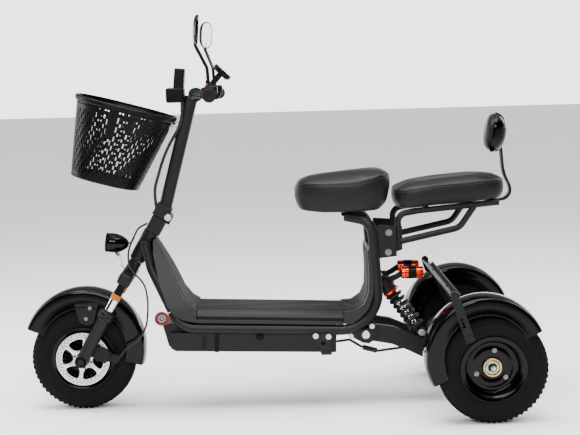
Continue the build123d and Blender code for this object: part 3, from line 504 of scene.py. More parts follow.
# Geometry Nodes: a tree is built with named inputs, run once, and kept as a plain mesh
def startTree(name, inputs):
    tree = bpy.data.node_groups.new(name, "GeometryNodeTree")
    tree.is_modifier = True
    socket = tree.interface.new_socket
    socket("Geometry", in_out="INPUT", socket_type="NodeSocketGeometry")
    for label, value in inputs.items():
        kind = "NodeSocketInt" if isinstance(value, int) else "NodeSocketFloat"
        socket(label, in_out="INPUT", socket_type=kind).default_value = value
    socket("Finish", in_out="INPUT", socket_type="NodeSocketMaterial")
    socket("Geometry", in_out="OUTPUT", socket_type="NodeSocketGeometry")
    return tree, addNode(tree, "NodeGroupInput").outputs


def geo(tree, kind, **parts):
    return addNode(tree, "GeometryNode" + kind, **parts).outputs[0]


def combined(tree, **parts):
    return addNode(tree, "ShaderNodeCombineXYZ", **parts).outputs[0]


def aligned(tree, axis, vector, **parts):
    return addNode(tree, "FunctionNodeAlignRotationToVector", axis=axis, Vector=vector, **parts).outputs[0]


def joinedNodes(tree, shapes):
    join = addNode(tree, "GeometryNodeJoinGeometry")
    for shape in shapes:
        tree.links.new(shape, join.inputs[0])
    return join.outputs[0]


def storedValue(tree, label, kind="FLOAT_VECTOR"):
    return geo(tree, "InputNamedAttribute", data_type=kind, Name=label)


def endTree(tree, get, geometry):
    realized = geo(tree, "RealizeInstances", Geometry=geometry)
    finished = geo(tree, "SetMaterial", Geometry=realized, Material=get["Finish"])
    tree.links.new(finished, addNode(tree, "NodeGroupOutput").inputs[0])
    return tree


def evaluatedMesh(holder):
    graph = bpy.context.evaluated_depsgraph_get()
    return bpy.data.meshes.new_from_object(holder.evaluated_get(graph), depsgraph=graph)


def baseMesh(name, points, edges=(), faces=(), domain="POINT", kind="FLOAT_VECTOR", **stored):
    # the points that a tree starts from, with the values stored on them
    mesh = bpy.data.meshes.new(name + "Base")
    mesh.from_pydata([tuple(p) for p in points], edges, faces)
    for label, values in stored.items():
        field = "vector" if kind == "FLOAT_VECTOR" else "value"
        mesh.attributes.new(label, kind, domain).data.foreach_set(field, values)
    return mesh


def runTree(name, tree, values, finish, body, place=None, base=None, stands=(), sharp=35.0):
    holder = linked(bpy.data.objects.new(name + "Holder", base or bpy.data.meshes.new(name + "Base")))
    mod = holder.modifiers.new("shape", "NODES")
    mod.node_group = tree
    values = {**values, "Finish": finishes[finish]}
    for item in tree.interface.items_tree:
        if item.item_type == "SOCKET" and item.in_out == "INPUT" and item.name in values:
            mod[item.identifier] = values[item.name]
    bpy.context.view_layer.update()
    made = evaluatedMesh(holder)
    made.name = name
    bpy.data.objects.remove(holder)
    if place is not None:
        made.transform(place)
    return settled(name, made, finish, body, sharp, stands)


def makeTreadTree():
    # rows of small blocks round a ring whose axis is Y
    tree, get = startTree("treadBlocks", {"Radius": 0.155, "Count": 40, "Block Length": 0.012,
                                          "Block Width": 0.008,
                                          "Block Height": 0.004, "Row Offset": 0.02})
    size = combined(tree, X=get["Block Width"], Y=get["Block Length"], Z=get["Block Height"])
    block = geo(tree, "MeshCube", Size=size)
    ring = geo(tree, "MeshCircle", Vertices=get["Count"], Radius=get["Radius"])
    outward = aligned(tree, "Z", geo(tree, "InputPosition"))
    turned = aligned(tree, "Y", (0, 0, 1), pivot_axis="Z", Rotation=outward)
    rows = []
    for side, phase in ((1, 0.0), (-1, 0.5)):
        placed = geo(tree, "InstanceOnPoints", Points=ring, Instance=block, Rotation=turned)
        move = combined(tree, Z=mathNode(tree, "MULTIPLY", get["Row Offset"], float(side)))
        turn = combined(tree, Z=mathNode(tree, "DIVIDE", 2 * math.pi * phase, get["Count"]))
        rows.append(geo(tree, "Transform", Geometry=placed, Translation=move, Rotation=turn))
    return endTree(tree, get, geo(tree, "Transform", Geometry=joinedNodes(tree, rows),
                                  Rotation=(math.pi / 2, 0, 0)))


def makeBoltTree():
    # a hexagon head with washer at each point, turned to the point's stored facing
    tree, get = startTree("boltHeads", {"Head Radius": 0.005, "Head Height": 0.004, "Washer Radius": 0.007})

    def drum(sides, radius, depth):
        return geo(tree, "MeshCylinder", fill_type="NGON", Vertices=sides, Radius=radius, Depth=depth)

    head = drum(6, get["Head Radius"], get["Head Height"])
    dome = drum(16, mathNode(tree, "MULTIPLY", get["Head Radius"], 0.62), 0.0008)
    lift = combined(tree, Z=mathNode(tree, "MULTIPLY", get["Head Height"], 0.5))
    raised = geo(tree, "Transform", Geometry=head, Translation=lift)
    crown = geo(tree, "Transform", Geometry=dome, Translation=combined(tree, Z=get["Head Height"]))
    joined = joinedNodes(tree, (raised, crown, drum(24, get["Washer Radius"], 0.0012)))
    points = geo(tree, "MeshToPoints", Mesh=get["Geometry"])
    turned = aligned(tree, "Z", storedValue(tree, "facing"))
    return endTree(tree, get, geo(tree, "InstanceOnPoints", Points=points, Instance=joined, Rotation=turned))


treadTree = makeTreadTree()
boltTree = makeBoltTree()


def addBolts(name, spots, radius, height, finish, body, washer=1.5):
    # spots are (place, facing) pairs
    base = baseMesh(name, [place for place, facing in spots], facing=[c for place,
                                                                      facing in spots for c in facing])
    values = {"Head Radius": mm(radius), "Head Height": mm(height), "Washer Radius": mm(radius * washer)}
    runTree(name, boltTree, values, finish, body, base=base, sharp=30.0)


def sideSpots(*places):
    # places on the left and their mirror images, all facing outward
    return [(at(x, side * y, z), (0, side, 0)) for side in (1, -1) for x, y, z in places]


def ringSpots(x, y, radius, count, phase, facing):
    angles = [math.radians(phase + 360 * k / count) for k in range(count)]
    return [(at(x + radius * math.cos(a), y, tyreRadius + radius * math.sin(a)), facing) for a in angles]


# Wheels
tyreSet = {"crown": 155.2, "bead": 84.4, "blocks": 58,
           "tread": {"Radius": 152.6, "Block Length": 9.6, "Block Width": 8.0, "Block Height": 3.2,
                     "Row Offset": 26.0}}
wheelAxis = (0, 1, 0)
frontCentre = at(wheelbase, 0, tyreRadius)


def tyreProfile(s):
    crown = s["crown"]
    half = [(0.0, crown + 1.6), (4.5, crown + 1.6), (5.2, crown - 0.6), (7.4, crown - 0.7),
            (8.2, crown + 1.3), (15.5, crown + 0.9), (16.3, crown - 1.4), (18.5, crown - 1.8),
            (19.3, crown - 0.4), (27, 151.6), (33.5, 146.4), (37.2, 140.5), (38.0, 138.6), (39.6, 134),
            (40.4, 129.5), (41.0, 128.6), (41.0, 126.4), (40.6, 125.4), (40.4, 118), (39.2, 110.5),
            (39.6, 109.6), (39.2, 107.4), (38.2, 106.8), (36.2, 101), (34.6, 97.2), (34.6, 95.4),
            (33.5, 94.2), (33.4, s["bead"] + 0.3)]
    return [(-a, r) for a, r in reversed(half[1:])] + half


def makeTyre(name, x, y, body, node):
    s, place = tyreSet, at(x, y, tyreRadius)
    addTurned(name, tyreProfile(s), place, wheelAxis, 96, "tyreRubber", body, 28, (node,))
    values = {label: mm(value) for label, value in s["tread"].items()}
    values["Count"] = s["blocks"]
    runTree(name + "Blocks", treadTree, values, "tyreRubber", body, Matrix.Translation(place))


rearSet = {
    "rim": [(38, 94), (38.3, 92.5), (37.6, 90.5), (36.6, 88.5), (36, 85), (35.4, 82.4), (33, 80.4),
            (31.4, 79.2), (30, 77.6), (12, 75), (7, 72.5), (4.8, 68), (4.5, 58), (6.2, 55), (6.2, 41),
            (4.6, 38), (5, 30), (9, 28.8), (9, 12.8), (-36, 12.8), (-36, 22), (-4, 26), (-1, 34), (-0.5, 66),
            (0, 70.5), (-8, 73.5), (-31, 76), (-35, 79), (-36, 85), (-37.6, 90.5), (-38.3, 92.5), (-38, 94),
            (-35.4, 94), (-34, 90), (-33.6, 84.2), (33.6, 84.2), (34, 90), (35.4, 94)],
    "ring": [(9.2, 28.2), (12.5, 27.6), (14.6, 25.6), (14.6, 22.8), (12.8, 21.4), (11.2, 20.6), (9.2, 20.6)],
    "race": [(9.2, 20.3), (12.4, 19.8), (13.4, 18.4), (11.6, 16.8), (11.6, 14.6), (13.6, 13.6), (14.6, 12.6),
             (9.2, 12.6)],
    "boltCircle": 48, "boltDepth": 6.4, "bolts": 3, "boltPhase": 98,
}
frontRim = [
    (38, 94), (38.3, 92.5), (37.6, 90.5), (36.6, 88.5), (36, 85), (35.4, 82.4), (33, 80.4), (31, 78),
    (20, 75), (13, 71), (12, 64), (12, 50), (14, 46), (16, 34), (22, 29), (34, 27), (34, 12.8), (-34, 12.8),
    (-34, 27), (-22, 29), (4, 46), (5, 70), (-8, 74.5), (-31, 78), (-36, 85), (-37.6, 90.5), (-38.3, 92.5),
    (-38, 94), (-35.4, 94), (-34, 90), (-33.6, 84.2), (33.6, 84.2), (34, 90), (35.4, 94)]


def makeRearWheel(name, side, s):
    label = name.lower()
    body = "rear_wheel_" + label
    y = side * halfTrack
    axis = (0, side, 0)
    makeTyre("tyreRear" + name, 0, y, body, "rear_tyre_" + label)
    for piece, profile, segments, finish, sharp, stands in (
            ("rimRear", s["rim"], 96, "glossBlack", 40, ("rear_rim_" + label,)),
            ("hubRing", s["ring"], 64, "goldZinc", 30, ()), ("hubRace", s["race"], 64, "zincSteel", 30, ())):
        addTurned(piece + name, profile, at(0, y, tyreRadius), axis, segments, finish, body, sharp, stands)
    spots = ringSpots(0, y + side * s["boltDepth"], s["boltCircle"], s["bolts"], s["boltPhase"], axis)
    addBolts("rimBolts" + name, spots, 4.6, 3.6, "darkZinc", body)


makeTyre("tyreFront", wheelbase, 0, "front_wheel", "front_tyre")
addTurned("rimFront", frontRim, frontCentre, wheelAxis, 96, "glossBlack", "front_wheel", 40, ("front_rim",))
for name, side in bothSides:
    makeRearWheel(name, side, rearSet)


# Flat pieces: an outline with openings, filled and given its thickness
def turnedPoints(points, degrees):
    c, s = math.cos(math.radians(degrees)), math.sin(math.radians(degrees))
    return [(x * c - y * s, x * s + y * c) for x, y in points]


def flatPiece(name, outlines, thick, place, finish, body, stands=()):
    curve = bpy.data.curves.new(name, "CURVE")
    curve.dimensions = "2D"
    curve.fill_mode = "BOTH"
    curve.extrude = mm(thick / 2)
    curve.bevel_depth = mm(0.25)
    curve.bevel_resolution = 1
    for outline in outlines:
        line = curve.splines.new("POLY")
        line.points.add(len(outline) - 1)
        for point, (x, y) in zip(line.points, outline):
            point.co = (mm(x), mm(y), 0, 1)
        line.use_cyclic_u = True
    holder = linked(bpy.data.objects.new(name + "Holder", curve))
    bpy.context.view_layer.update()
    mesh = evaluatedMesh(holder)
    bpy.data.objects.remove(holder)
    mesh.transform(place)
    verts, faces = [v.co.copy() for v in mesh.vertices], [tuple(p.vertices) for p in mesh.polygons]
    addPiece(name, verts, faces, finish, body, 30.0, stands)


# Brake disc with windows and vent holes, its boss and the hub's cap
discSet = {
    "radius": 80.0, "y": 45.0, "thick": 3.0, "bore": 21.0, "windows": 6, "phase": 12, "holeRadius": 2.4,
    "holes": 36,
    "bolts": 6, "boltCircle": 26.5, "boltPhase": 20, "edge": 0.5,
    "holeRows": [(67.6, 0.0), (74.6, 5.0)],
    "window": [(28, -5), (32, -14), (41, -21), (52, -25), (59, -20), (62.5, -4), (61, 13), (55, 20.5),
               (47, 18), (38, 12.5), (31, 5.5), (28, -5)],
    "boss": [(34.4, 22), (34.4, 26.5), (43.2, 26.5), (43.2, 22)],
    "cap": [(43.5, 12.6), (43.5, 20.6), (47.2, 20), (48.6, 17.5), (48.6, 12.6)],
}


def makeDisc(s):
    window = [(p.x, p.y) for p in smoothLine(s["window"], 3)[:-1]]
    outlines = [circleSection(s["radius"], 120), circleSection(s["bore"], 48)]
    outlines += [turnedPoints(window, 360 / s["windows"] * k + s["phase"]) for k in range(s["windows"])]
    for radius, phase in s["holeRows"]:
        for k in range(s["holes"]):
            angle = math.radians(360 * k / s["holes"] + phase)
            outlines.append(circleSection(s["holeRadius"], 12, radius * math.cos(angle),
                                          radius * math.sin(angle)))
    place = Matrix.Translation(at(wheelbase, s["y"], tyreRadius)) @ Matrix.Rotation(math.radians(90), 4, "X")
    flatPiece("brakeDisc", outlines, s["thick"] - s["edge"], place, "discSteel", "front_wheel",
              ("brake_disc",))
    addTurned("discBoss", s["boss"], frontCentre, wheelAxis, 48, "castBlack", "front_wheel")
    spots = ringSpots(wheelbase, s["y"] + s["thick"] / 2, s["boltCircle"], s["bolts"], s["boltPhase"],
                      wheelAxis)
    addBolts("discBolts", spots, 3.0, 2.6, "castBlack", "front_wheel", washer=1.2)
    addTurned("hubCapFront", s["cap"], frontCentre, wheelAxis, 48, "castBlack", "front_wheel")


makeDisc(discSet)
print("trike: wheels made")


# Soft goods: crowned closed forms, swollen by a short cloth run, seams and stitches laid on after it
# Each layer: how far in from the outline, share of the way from base to seam, and from there to the top
saddleSet = {
    "rear": 256.0, "front": 541.0, "halfRear": 117.0, "halfFront": 92.0, "square": 3.6, "fill": 0.75,
    "cap": 9.0,
    "top": [(256, 702), (282, 707), (330, 700), (387, 692), (462, 688), (522, 685), (541, 681)],
    "seam": [(256, 688), (290, 690), (322, 680), (360, 671), (409, 668), (450, 669), (496, 670), (520, 666),
             (541, 652)],
    "base": [(256, 628), (276, 602), (300, 587), (375, 584), (450, 584), (520, 588), (541, 598)],
    "layers": [(70, 0.0, 0), (22, 0.0, 0), (10, 0.04, 0), (3, 0.3, 0), (0, 0.62, 0), (0.6, 0.9, 0),
               (2.4, 1.0, 0), (4.5, 1.0, 0.26), (12, 1.0, 0.58), (26, 1.0, 0.82), (48, 1.0, 0.95),
               (76, 1.0, 1.0)],
}
rearSeatSet = {
    "rear": -78.0, "front": 247.0, "halfRear": 112.0, "halfFront": 112.0, "square": 5.0, "fill": 0.75,
    "cap": 5.0,
    "top": [(-78, 681), (0, 680), (90, 673), (180, 664), (247, 655)],
    "seam": [(-78, 668), (90, 660), (247, 642)],
    "base": [(-78, 613), (90, 601), (247, 588)],
    "layers": [(76, 0.0, 0), (20, 0.0, 0), (8, 0.05, 0), (2, 0.3, 0), (0, 0.6, 0), (0.6, 0.9, 0),
               (2.4, 1.0, 0), (4.5, 1.0, 0.34), (10, 1.0, 0.72), (20, 1.0, 0.92), (40, 1.0, 0.98),
               (70, 1.0, 1.0)],
}
padSet = {
    "rear": -55.5, "front": 55.5, "halfRear": 95.0, "halfFront": 95.0, "square": 3.0, "fill": 0.8, "cap": 5.0,
    "top": [(0, 30)], "seam": [(0, 11)], "base": [(0, 0.4)],
    "layers": [(44, 0.0, 0), (12, 0.0, 0), (4, 0.1, 0), (1, 0.4, 0), (0, 0.75, 0), (1.2, 1.0, 0),
               (3.5, 1.0, 0.3), (9, 1.0, 0.6), (20, 1.0, 0.86), (40, 1.0, 1.0)],
    "lean": 9.0, "turn": -8.0, "ahead": 22.3, "foot": (-84, 800),
}
clothSet = {"voxel": 5.0, "pressure": 4.0, "frames": 20, "tension": 45.0, "bending": 1.5}
stitchSet = {"lift": 0.3, "step": 6.5, "Stitch Length": 4.6, "Thread Radius": 0.55}
pipingSet = {"lift": 0.2, "step": 8, "seat": 1.1, "pad": 1.0}


def tableValue(table, x):
    if x <= table[0][0]:
        return table[0][1]
    for (x0, v0), (x1, v1) in zip(table, table[1:]):
        if x <= x1:
            share = (x - x0) / (x1 - x0)
            share = share * share * (3 - 2 * share)
            return v0 + (v1 - v0) * share
    return table[-1][1]


def squaredTurn(power, sides):
    # cosine and sine round a turn, drawn out towards the corners of a square
    for k in range(sides):
        angle = 2 * math.pi * k / sides
        yield [math.copysign(abs(c) ** (2 / power), c) for c in (math.cos(angle), math.sin(angle))]


def cushionRing(s, place, inset, low, high, sides=72):
    middle = (s["rear"] + s["front"]) / 2
    half = (s["front"] - s["rear"]) / 2
    ring = []
    for c, d in squaredTurn(s["square"], sides):
        x = middle + (half - inset) * c
        share = (x - s["rear"]) / (2 * half)
        width = s["halfRear"] + (s["halfFront"] - s["halfRear"]) * share * share
        base, seam, top = (tableValue(s[key], x) for key in ("base", "seam", "top"))
        ring.append(place(x, max(width - inset, 2) * d, base + (seam - base) * low + (top - seam) * high))
    return ring


def swollen(name, shape, seamLine, basePlane, s):
    # a remeshed copy is blown up a little; the sewn line and the underside are held
    mesh = bpy.data.meshes.new(name + "Raw")
    mesh.from_pydata([tuple(v) for v in shape[0]], [], shape[1])
    holder = linked(bpy.data.objects.new(name + "Raw", mesh))
    remesh = holder.modifiers.new("remesh", "REMESH")
    remesh.mode = "VOXEL"
    remesh.voxel_size = mm(clothSet["voxel"])
    bpy.context.view_layer.update()
    fine = evaluatedMesh(holder)
    holder.modifiers.clear()
    holder.data = fine
    start = [v.co.copy() for v in fine.vertices]
    tree = KDTree(len(seamLine))
    for index, spot in enumerate(seamLine):
        tree.insert(spot, index)
    tree.balance()
    near = mm(clothSet["voxel"] * 0.62)
    held = [v.index for v in fine.vertices if tree.find(v.co)[2] < near or basePlane(v.co)]
    moved = start
    pins = holder.vertex_groups.new(name="held")
    pins.add(held, 1.0, "REPLACE")
    cloth = holder.modifiers.new("cloth", "CLOTH")
    cs = cloth.settings
    cs.use_pressure = True
    cs.uniform_pressure_force = clothSet["pressure"]
    cs.tension_stiffness = cs.compression_stiffness = clothSet["tension"]
    cs.bending_stiffness = clothSet["bending"]
    cs.quality = 5
    cs.vertex_group_mass = "held"
    cs.effector_weights.gravity = 0.0
    cloth.point_cache.frame_start = 1
    cloth.point_cache.frame_end = clothSet["frames"]
    scene = bpy.context.scene
    for number in range(1, clothSet["frames"] + 1):
        scene.frame_set(number)
    moved = [v.co.copy() for v in evaluatedMesh(holder).vertices]
    scene.frame_set(1)
    cap = mm(s["cap"])
    spots = []
    for before, after in zip(start, moved):
        way = after - before
        spots.append(before + way * min(1.0, cap / max(way.length, 1e-9)))
    faces = [tuple(p.vertices) for p in fine.polygons]
    bpy.data.objects.remove(holder)
    return spots, faces


def makeCushion(name, s, place, node, basePlane):
    # gives the finished surface back, for what is sewn onto it
    rings = [cushionRing(s, place, *layer) for layer in s["layers"]]
    width = len(rings[0])
    shape = sum(rings, []), ringFaces(len(rings), width) + capFaces(len(rings), width)
    seamLayer = [layer for layer in s["layers"] if layer[1] == 1.0][0]
    seamLine = cushionRing(s, place, *seamLayer, sides=400)
    spots, faces = swollen(name, shape, seamLine, basePlane, s)
    piece = addPiece(name, spots, faces, "leather", "chassis", 180, (node,))
    relax = piece.modifiers.new("relax", "SMOOTH")
    relax.factor = 0.5
    relax.iterations = 4
    finer = piece.modifiers.new("finer", "SUBSURF")
    finer.levels = finer.render_levels = 1
    bpy.context.view_layer.update()
    return BVHTree.FromObject(piece, bpy.context.evaluated_depsgraph_get())


def makeStitchTree():
    # a short rounded thread at each point, laid along the stored direction
    tree, get = startTree("stitchRow", {"Thread Radius": 0.0006, "Stitch Length": 0.005})
    half = mathNode(tree, "MULTIPLY", get["Stitch Length"], 0.5)
    size = combined(tree, X=half, Y=get["Thread Radius"], Z=get["Thread Radius"])
    thread = geo(tree, "Transform", Geometry=geo(tree, "MeshUVSphere", Segments=6, Rings=5, Radius=1.0),
                 Scale=size)
    first = aligned(tree, "Z", storedValue(tree, "facing"))
    second = aligned(tree, "X", storedValue(tree, "along"), pivot_axis="Z", Rotation=first)
    points = geo(tree, "MeshToPoints", Mesh=get["Geometry"])
    return endTree(tree, get, geo(tree, "InstanceOnPoints", Points=points, Instance=thread, Rotation=second))


stitchTree = makeStitchTree()


def laidOn(line, step, surface, lift):
    # even steps along a closed line, set on the surface: place, facing and direction of each
    rows, left = [], 0.0
    for a, b in zip(line, line[1:] + line[:1]):
        run = (b - a).length
        while left < run:
            near, facing, index, distance = surface.find_nearest(a.lerp(b, left / run))
            rows.append((near + facing * mm(lift), facing, (b - a).normalized()))
            left += mm(step)
        left -= run
    return rows


def addStitches(name, line, surface, s):
    rows = laidOn(line, s["step"], surface, s["lift"])
    base = baseMesh(name, [row[0] for row in rows], facing=[c for row in rows for c in row[1]],
                    along=[c for row in rows for c in row[2]])
    values = {label: mm(s[label]) for label in ("Thread Radius", "Stitch Length")}
    runTree(name, stitchTree, values, "greyThread", "chassis", base=base, sharp=180)


def addPiping(name, line, surface, radius):
    path = [row[0] for row in laidOn(line, pipingSet["step"], surface, pipingSet["lift"])]
    addPiece(name, *sweptShape(path, circleSection(mm(radius), 8), closed=True), "leather", "chassis", 180)


def padPlace(u, y, depth):
    # u runs up the pad, depth runs forward from its shell; the pad stands turned a little on its bar
    s = padSet
    lean, turn, deep = math.radians(s["lean"]), math.radians(s["turn"]), s["ahead"] + depth
    x = deep * math.cos(lean) - u * math.sin(lean)
    z = deep * math.sin(lean) + u * math.cos(lean)
    footX, footZ = s["foot"]
    return at(footX + x * math.cos(turn) - y * math.sin(turn), x * math.sin(turn) + y * math.cos(turn),
              footZ + z)


def makeSeat(name, label, node, s):
    def under(co):
        return co.z < mm(tableValue(s["base"], co.x * 1000 + middleX) + 4)
    return name, s, makeCushion(label, s, at, node, under)


padBase = padPlace(0, 0, 0)
padFacing = (padPlace(0, 0, 10) - padBase).normalized()
seats = [makeSeat("saddle", "saddlePad", "saddle", saddleSet),
         makeSeat("rearSeat", "rearSeatPad", "rear_seat", rearSeatSet)]
backSkin = makeCushion("backrestPad", padSet, padPlace, "backrest_pad",
                       lambda co: (co - padBase).dot(padFacing) < mm(3))
for name, s, skin in seats:
    addPiping(name + "Piping", cushionRing(s, at, 2.4, 1.0, 0.0, 240), skin, pipingSet["seat"])
    addStitches(name + "StitchUpper", cushionRing(s, at, 3.6, 1.0, 0.16, 240), skin, stitchSet)
    addStitches(name + "StitchLower", cushionRing(s, at, 1.4, 0.93, 0.0, 240), skin, stitchSet)
addPiping("backrestPiping", cushionRing(padSet, padPlace, 1.2, 1.0, 0.0, 240), backSkin, pipingSet["pad"])
print("trike: soft goods made")


# CAD forms carried over with softened edges
def softened(name, node, finish, body, width, segments=2):
    source = nodes[node]
    mesh = source.data.copy()
    mesh.transform(source.matrix_world)
    work = bmesh.new()
    work.from_mesh(mesh)
    bmesh.ops.remove_doubles(work, verts=work.verts, dist=1e-5)
    bmesh.ops.dissolve_limit(work, angle_limit=math.radians(1.5), verts=work.verts, edges=work.edges)
    work.verts.index_update()
    verts = [v.co.copy() for v in work.verts]
    faces = [tuple(v.index for v in f.verts) for f in work.faces]
    work.free()
    bevelled(addPiece(name, verts, faces, finish, body, stands=(node,)), mm(width), segments, 35.0)


# Fenders: boxed crown with rounded corners and rolled lip; start and turn are degrees of the arc
fenderSet = {
    "front": {"x": wheelbase - 4, "z": tyreRadius + 29, "radius": 185.0, "half": 49.3, "skirt": 58,
              "arc": (22, 175)},
    "rear": {"x": 20.0, "z": tyreRadius + 37.6, "radius": 173.0, "half": 55.0, "skirt": 52,
             "arc": (-28, 183)},
    "wall": 2.6,
}


def fenderProfile(r, half, low, wall):
    outer = [(half - 1.6, low - 0.8), (half - 0.4, low - 0.6), (half + 0.6, low + 1), (half + 0.6, low + 3),
             (half - 0.2, low + 5.5), (half - 0.4, r - 30), (half - 0.7, r - 16), (half - 1.6, r - 10.5),
             (half - 4, r - 7), (half - 8, r - 5), (half * 0.6, r - 2.2), (half * 0.3, r - 0.5), (0, r)]
    inner = [(0, r - wall), (half * 0.6, r - wall - 2.2), (half - 9, r - wall - 5), (half - 5.4, r - 11),
             (half - 3.6, r - 16), (half - 3.2, low + 5.5), (half - 2.6, low)]
    return outer + [(-a, b) for a, b in outer[-2::-1] + inner[::-1]] + inner[1:]


def addFender(name, node, body, y, s):
    profile = fenderProfile(s["radius"], s["half"], s["radius"] - s["skirt"], fenderSet["wall"])
    shape = latheShape(profile, at(s["x"], y, s["z"]), wheelAxis, 110, *s["arc"])
    addPiece(name, *shape, "glossBlack", body, 32, (node,))


addFender("frontFender", "front_fender", "fork", 0, fenderSet["front"])
for name, side in bothSides:
    addFender("rearFender" + name, "rear_fender_" + name.lower(), "chassis", side * halfTrack,
              fenderSet["rear"])

# Floor panel and risers; the front riser gets its raised ribs here, the others have theirs already
# Each row of the line: x and z of the riser's surface and half its width there
ribSet = {
    "ribs": 8, "high": 2.6, "share": 0.46, "half": 80, "least": 0.45, "raise": 0.2,
    "line": [(839.6, 309.3, 80), (851, 315.5, 82), (863, 326, 82), (874, 340, 80), (884, 356.5, 78),
             (899, 392, 71), (915, 430, 60), (936, 471, 47), (957, 511, 31)],
}


def makeRibs(s):
    # raised ribs alone, each a rounded bar laid along the panel
    line, high = s["line"], s["high"]
    reach = s["half"] * 2 / s["ribs"] * s["share"] / 2
    section = scaled([(-reach - 1.5, -1.5), (-reach, high), (reach, high), (reach + 1.5, -1.5)])
    scales = [max(half / s["half"], s["least"]) for x, z, half in line]
    parts = []
    for k in range(s["ribs"]):
        path = []
        for index, (x, z, half) in enumerate(line):
            before, after = line[max(index - 1, 0)], line[min(index + 1, len(line) - 1)]
            ahead = Vector((after[0] - before[0], after[1] - before[1])).normalized() * s["raise"]
            path.append(at(x - ahead.y, -half + 2 * half / s["ribs"] * (k + 0.5), z + ahead.x))
        parts.append(sweptShape(path, section, scales=scales))
    bevelled(addPiece("frontRibs", *joinShapes(parts), "deckPlastic", "chassis", 40), mm(0.8))


softened("floorPanel", "deck_floor", "deckPlastic", "chassis", 0.9)
softened("frontRiser", "deck_front", "deckPlastic", "chassis", 1.6)
softened("rearRiser", "deck_rear", "deckPlastic", "chassis", 0.9)
makeRibs(ribSet)

# Battery box with its end seams, strap and charge knob; places are along, across and above its sloping lid
batterySet = {"x": 677, "z": 246, "slope": math.radians(2.35), "side": 97.0, "strap": (97.5, 110.5),
              "seams": (138.0, 145.0, -226.0), "knobX": 655, "knobZ": 224,
              "knob": [(0, 0.5), (0, 12.5), (4, 12.5), (5, 11), (5, 7), (9, 6.4), (12, 6), (13.2, 4.5),
                       (13.2, 0.5)]}


def lidAt(along, y, up):
    s = batterySet
    across, rise = math.cos(s["slope"]), math.sin(s["slope"])
    return at(s["x"] + along * across - up * rise, y, s["z"] + along * rise + up * across)


def makeBatteryTrim(s):
    side, (start, end) = s["side"], s["strap"]
    strap = [boxShape(lidAt, (start, y, -66), (end, y + 2.2, -17)) for y in (side - 0.5, -side - 1.7)]
    strap.append(boxShape(lidAt, (start, -side - 1.7, -71.5), (end, side + 1.7, -69.3)))
    seams = [boxShape(lidAt, (x - 1.4, y, -62), (x + 1.4, y + 1.6, -20)) for x in s["seams"]
             for y in (side - 0.4, -side - 1.2)]
    for name, parts, soft in (("batteryStrap", strap, 0.7), ("batterySeams", seams, 0.5)):
        bevelled(addPiece(name, *joinShapes(parts), "blackPlastic", "chassis"), mm(soft))
    addTurned("chargeKnob", s["knob"], at(s["knobX"], side - 0.6, s["knobZ"]), wheelAxis, 40, "blackPlastic",
              "chassis")


softened("batteryCase", "battery_box", "satinFrame", "chassis", 2.2, 3)
makeBatteryTrim(batterySet)
for name, node, finish, body, width in (
        ("hingeBase", "hinge_base", "satinFrame", "fork", 2.0),
        ("headTube", "head_tube", "satinFrame", "chassis", 1.0),
        ("stemTube", "stem", "satinFrame", "stem", 1.5), ("rackTubes", "rack", "satinFrame", "chassis", 0.8),
        ("swingArm", "swing_arm", "satinFrame", "chassis", 1.4),
        ("fenderBridge", "fender_bridge", "satinFrame", "chassis", 0.8),
        ("footBracket", "foot_bracket", "satinFrame", "chassis", 0.6),
        ("brakeCaliper", "brake_caliper", "castBlack", "fork", 1.6),
        ("dashHolder", "holder", "blackPlastic", "stem", 2.0)):
    softened(name, node, finish, body, width)
print("trike: frame and deck made")


# Fork: crown, bright stanchions with orange rings, lower legs with collars and axle eyes
forkSet = {
    "half": 72.0, "crownHalf": 20, "crownPast": 17, "crownLow": 262, "crownHigh": 298,
    "boltsUp": 280, "boltsOut": (56, 88),
    "neck": [(296, 0), (296, 19), (334, 19), (336, 17.5), (336, 0)],
    "cap": [(432.2, 0), (432.2, 20), (434, 20.4), (436, 0)],
    "race": [(336.2, 0), (336.2, 22.4), (336.9, 23.2), (336.9, 0)],
    "sleeve": [(230, 0), (230, 12.6), (231.5, 13.2), (240, 13), (243, 12), (264, 12), (264, 0)],
    "chrome": [(120, 0), (120, 14), (212, 14), (212, 0)],
    "ring": [(212, 0), (212, 14.3), (212.8, 14.8), (220.4, 14.8), (220.8, 14.2), (221.4, 14.2), (221.8, 14.8),
             (229.2, 14.8), (230, 14.3), (230, 0)],
    "leg": [(-4, 0), (0, 16), (16, 17.4), (26, 19), (140, 19), (143, 20.4), (145.5, 23.4), (147, 25),
            (156, 25), (157.4, 23.6), (159.4, 23.6), (160.8, 25), (168, 25), (170, 23.4), (170, 18),
            (174, 17.4), (176, 15.8), (176, 14.1), (150, 14.1), (150, 0)],
    "eye": [(-14.5, 0), (-14.5, 17), (-13, 18.6), (13, 18.6), (14.5, 17), (14.5, 0)],
    "nut": [(24.5, 0), (24.5, 4.5), (22.5, 8.5), (19.5, 10.4), (17.2, 10.8), (17.2, 14.5), (16, 15.2),
            (14.6, 15.2), (14.6, 0)],
}
steerWay = (steerAt(1) - steerAt(0)).normalized()
steerAcross = (steerAt(0, 1) - steerAt(0)).normalized()


def addSteered(name, profile, y, finish, sharp=35.0, stands=()):
    addTurned(name, profile, steerAt(0, 0, y), steerWay, 48, finish, "fork", sharp, stands, steerAcross)


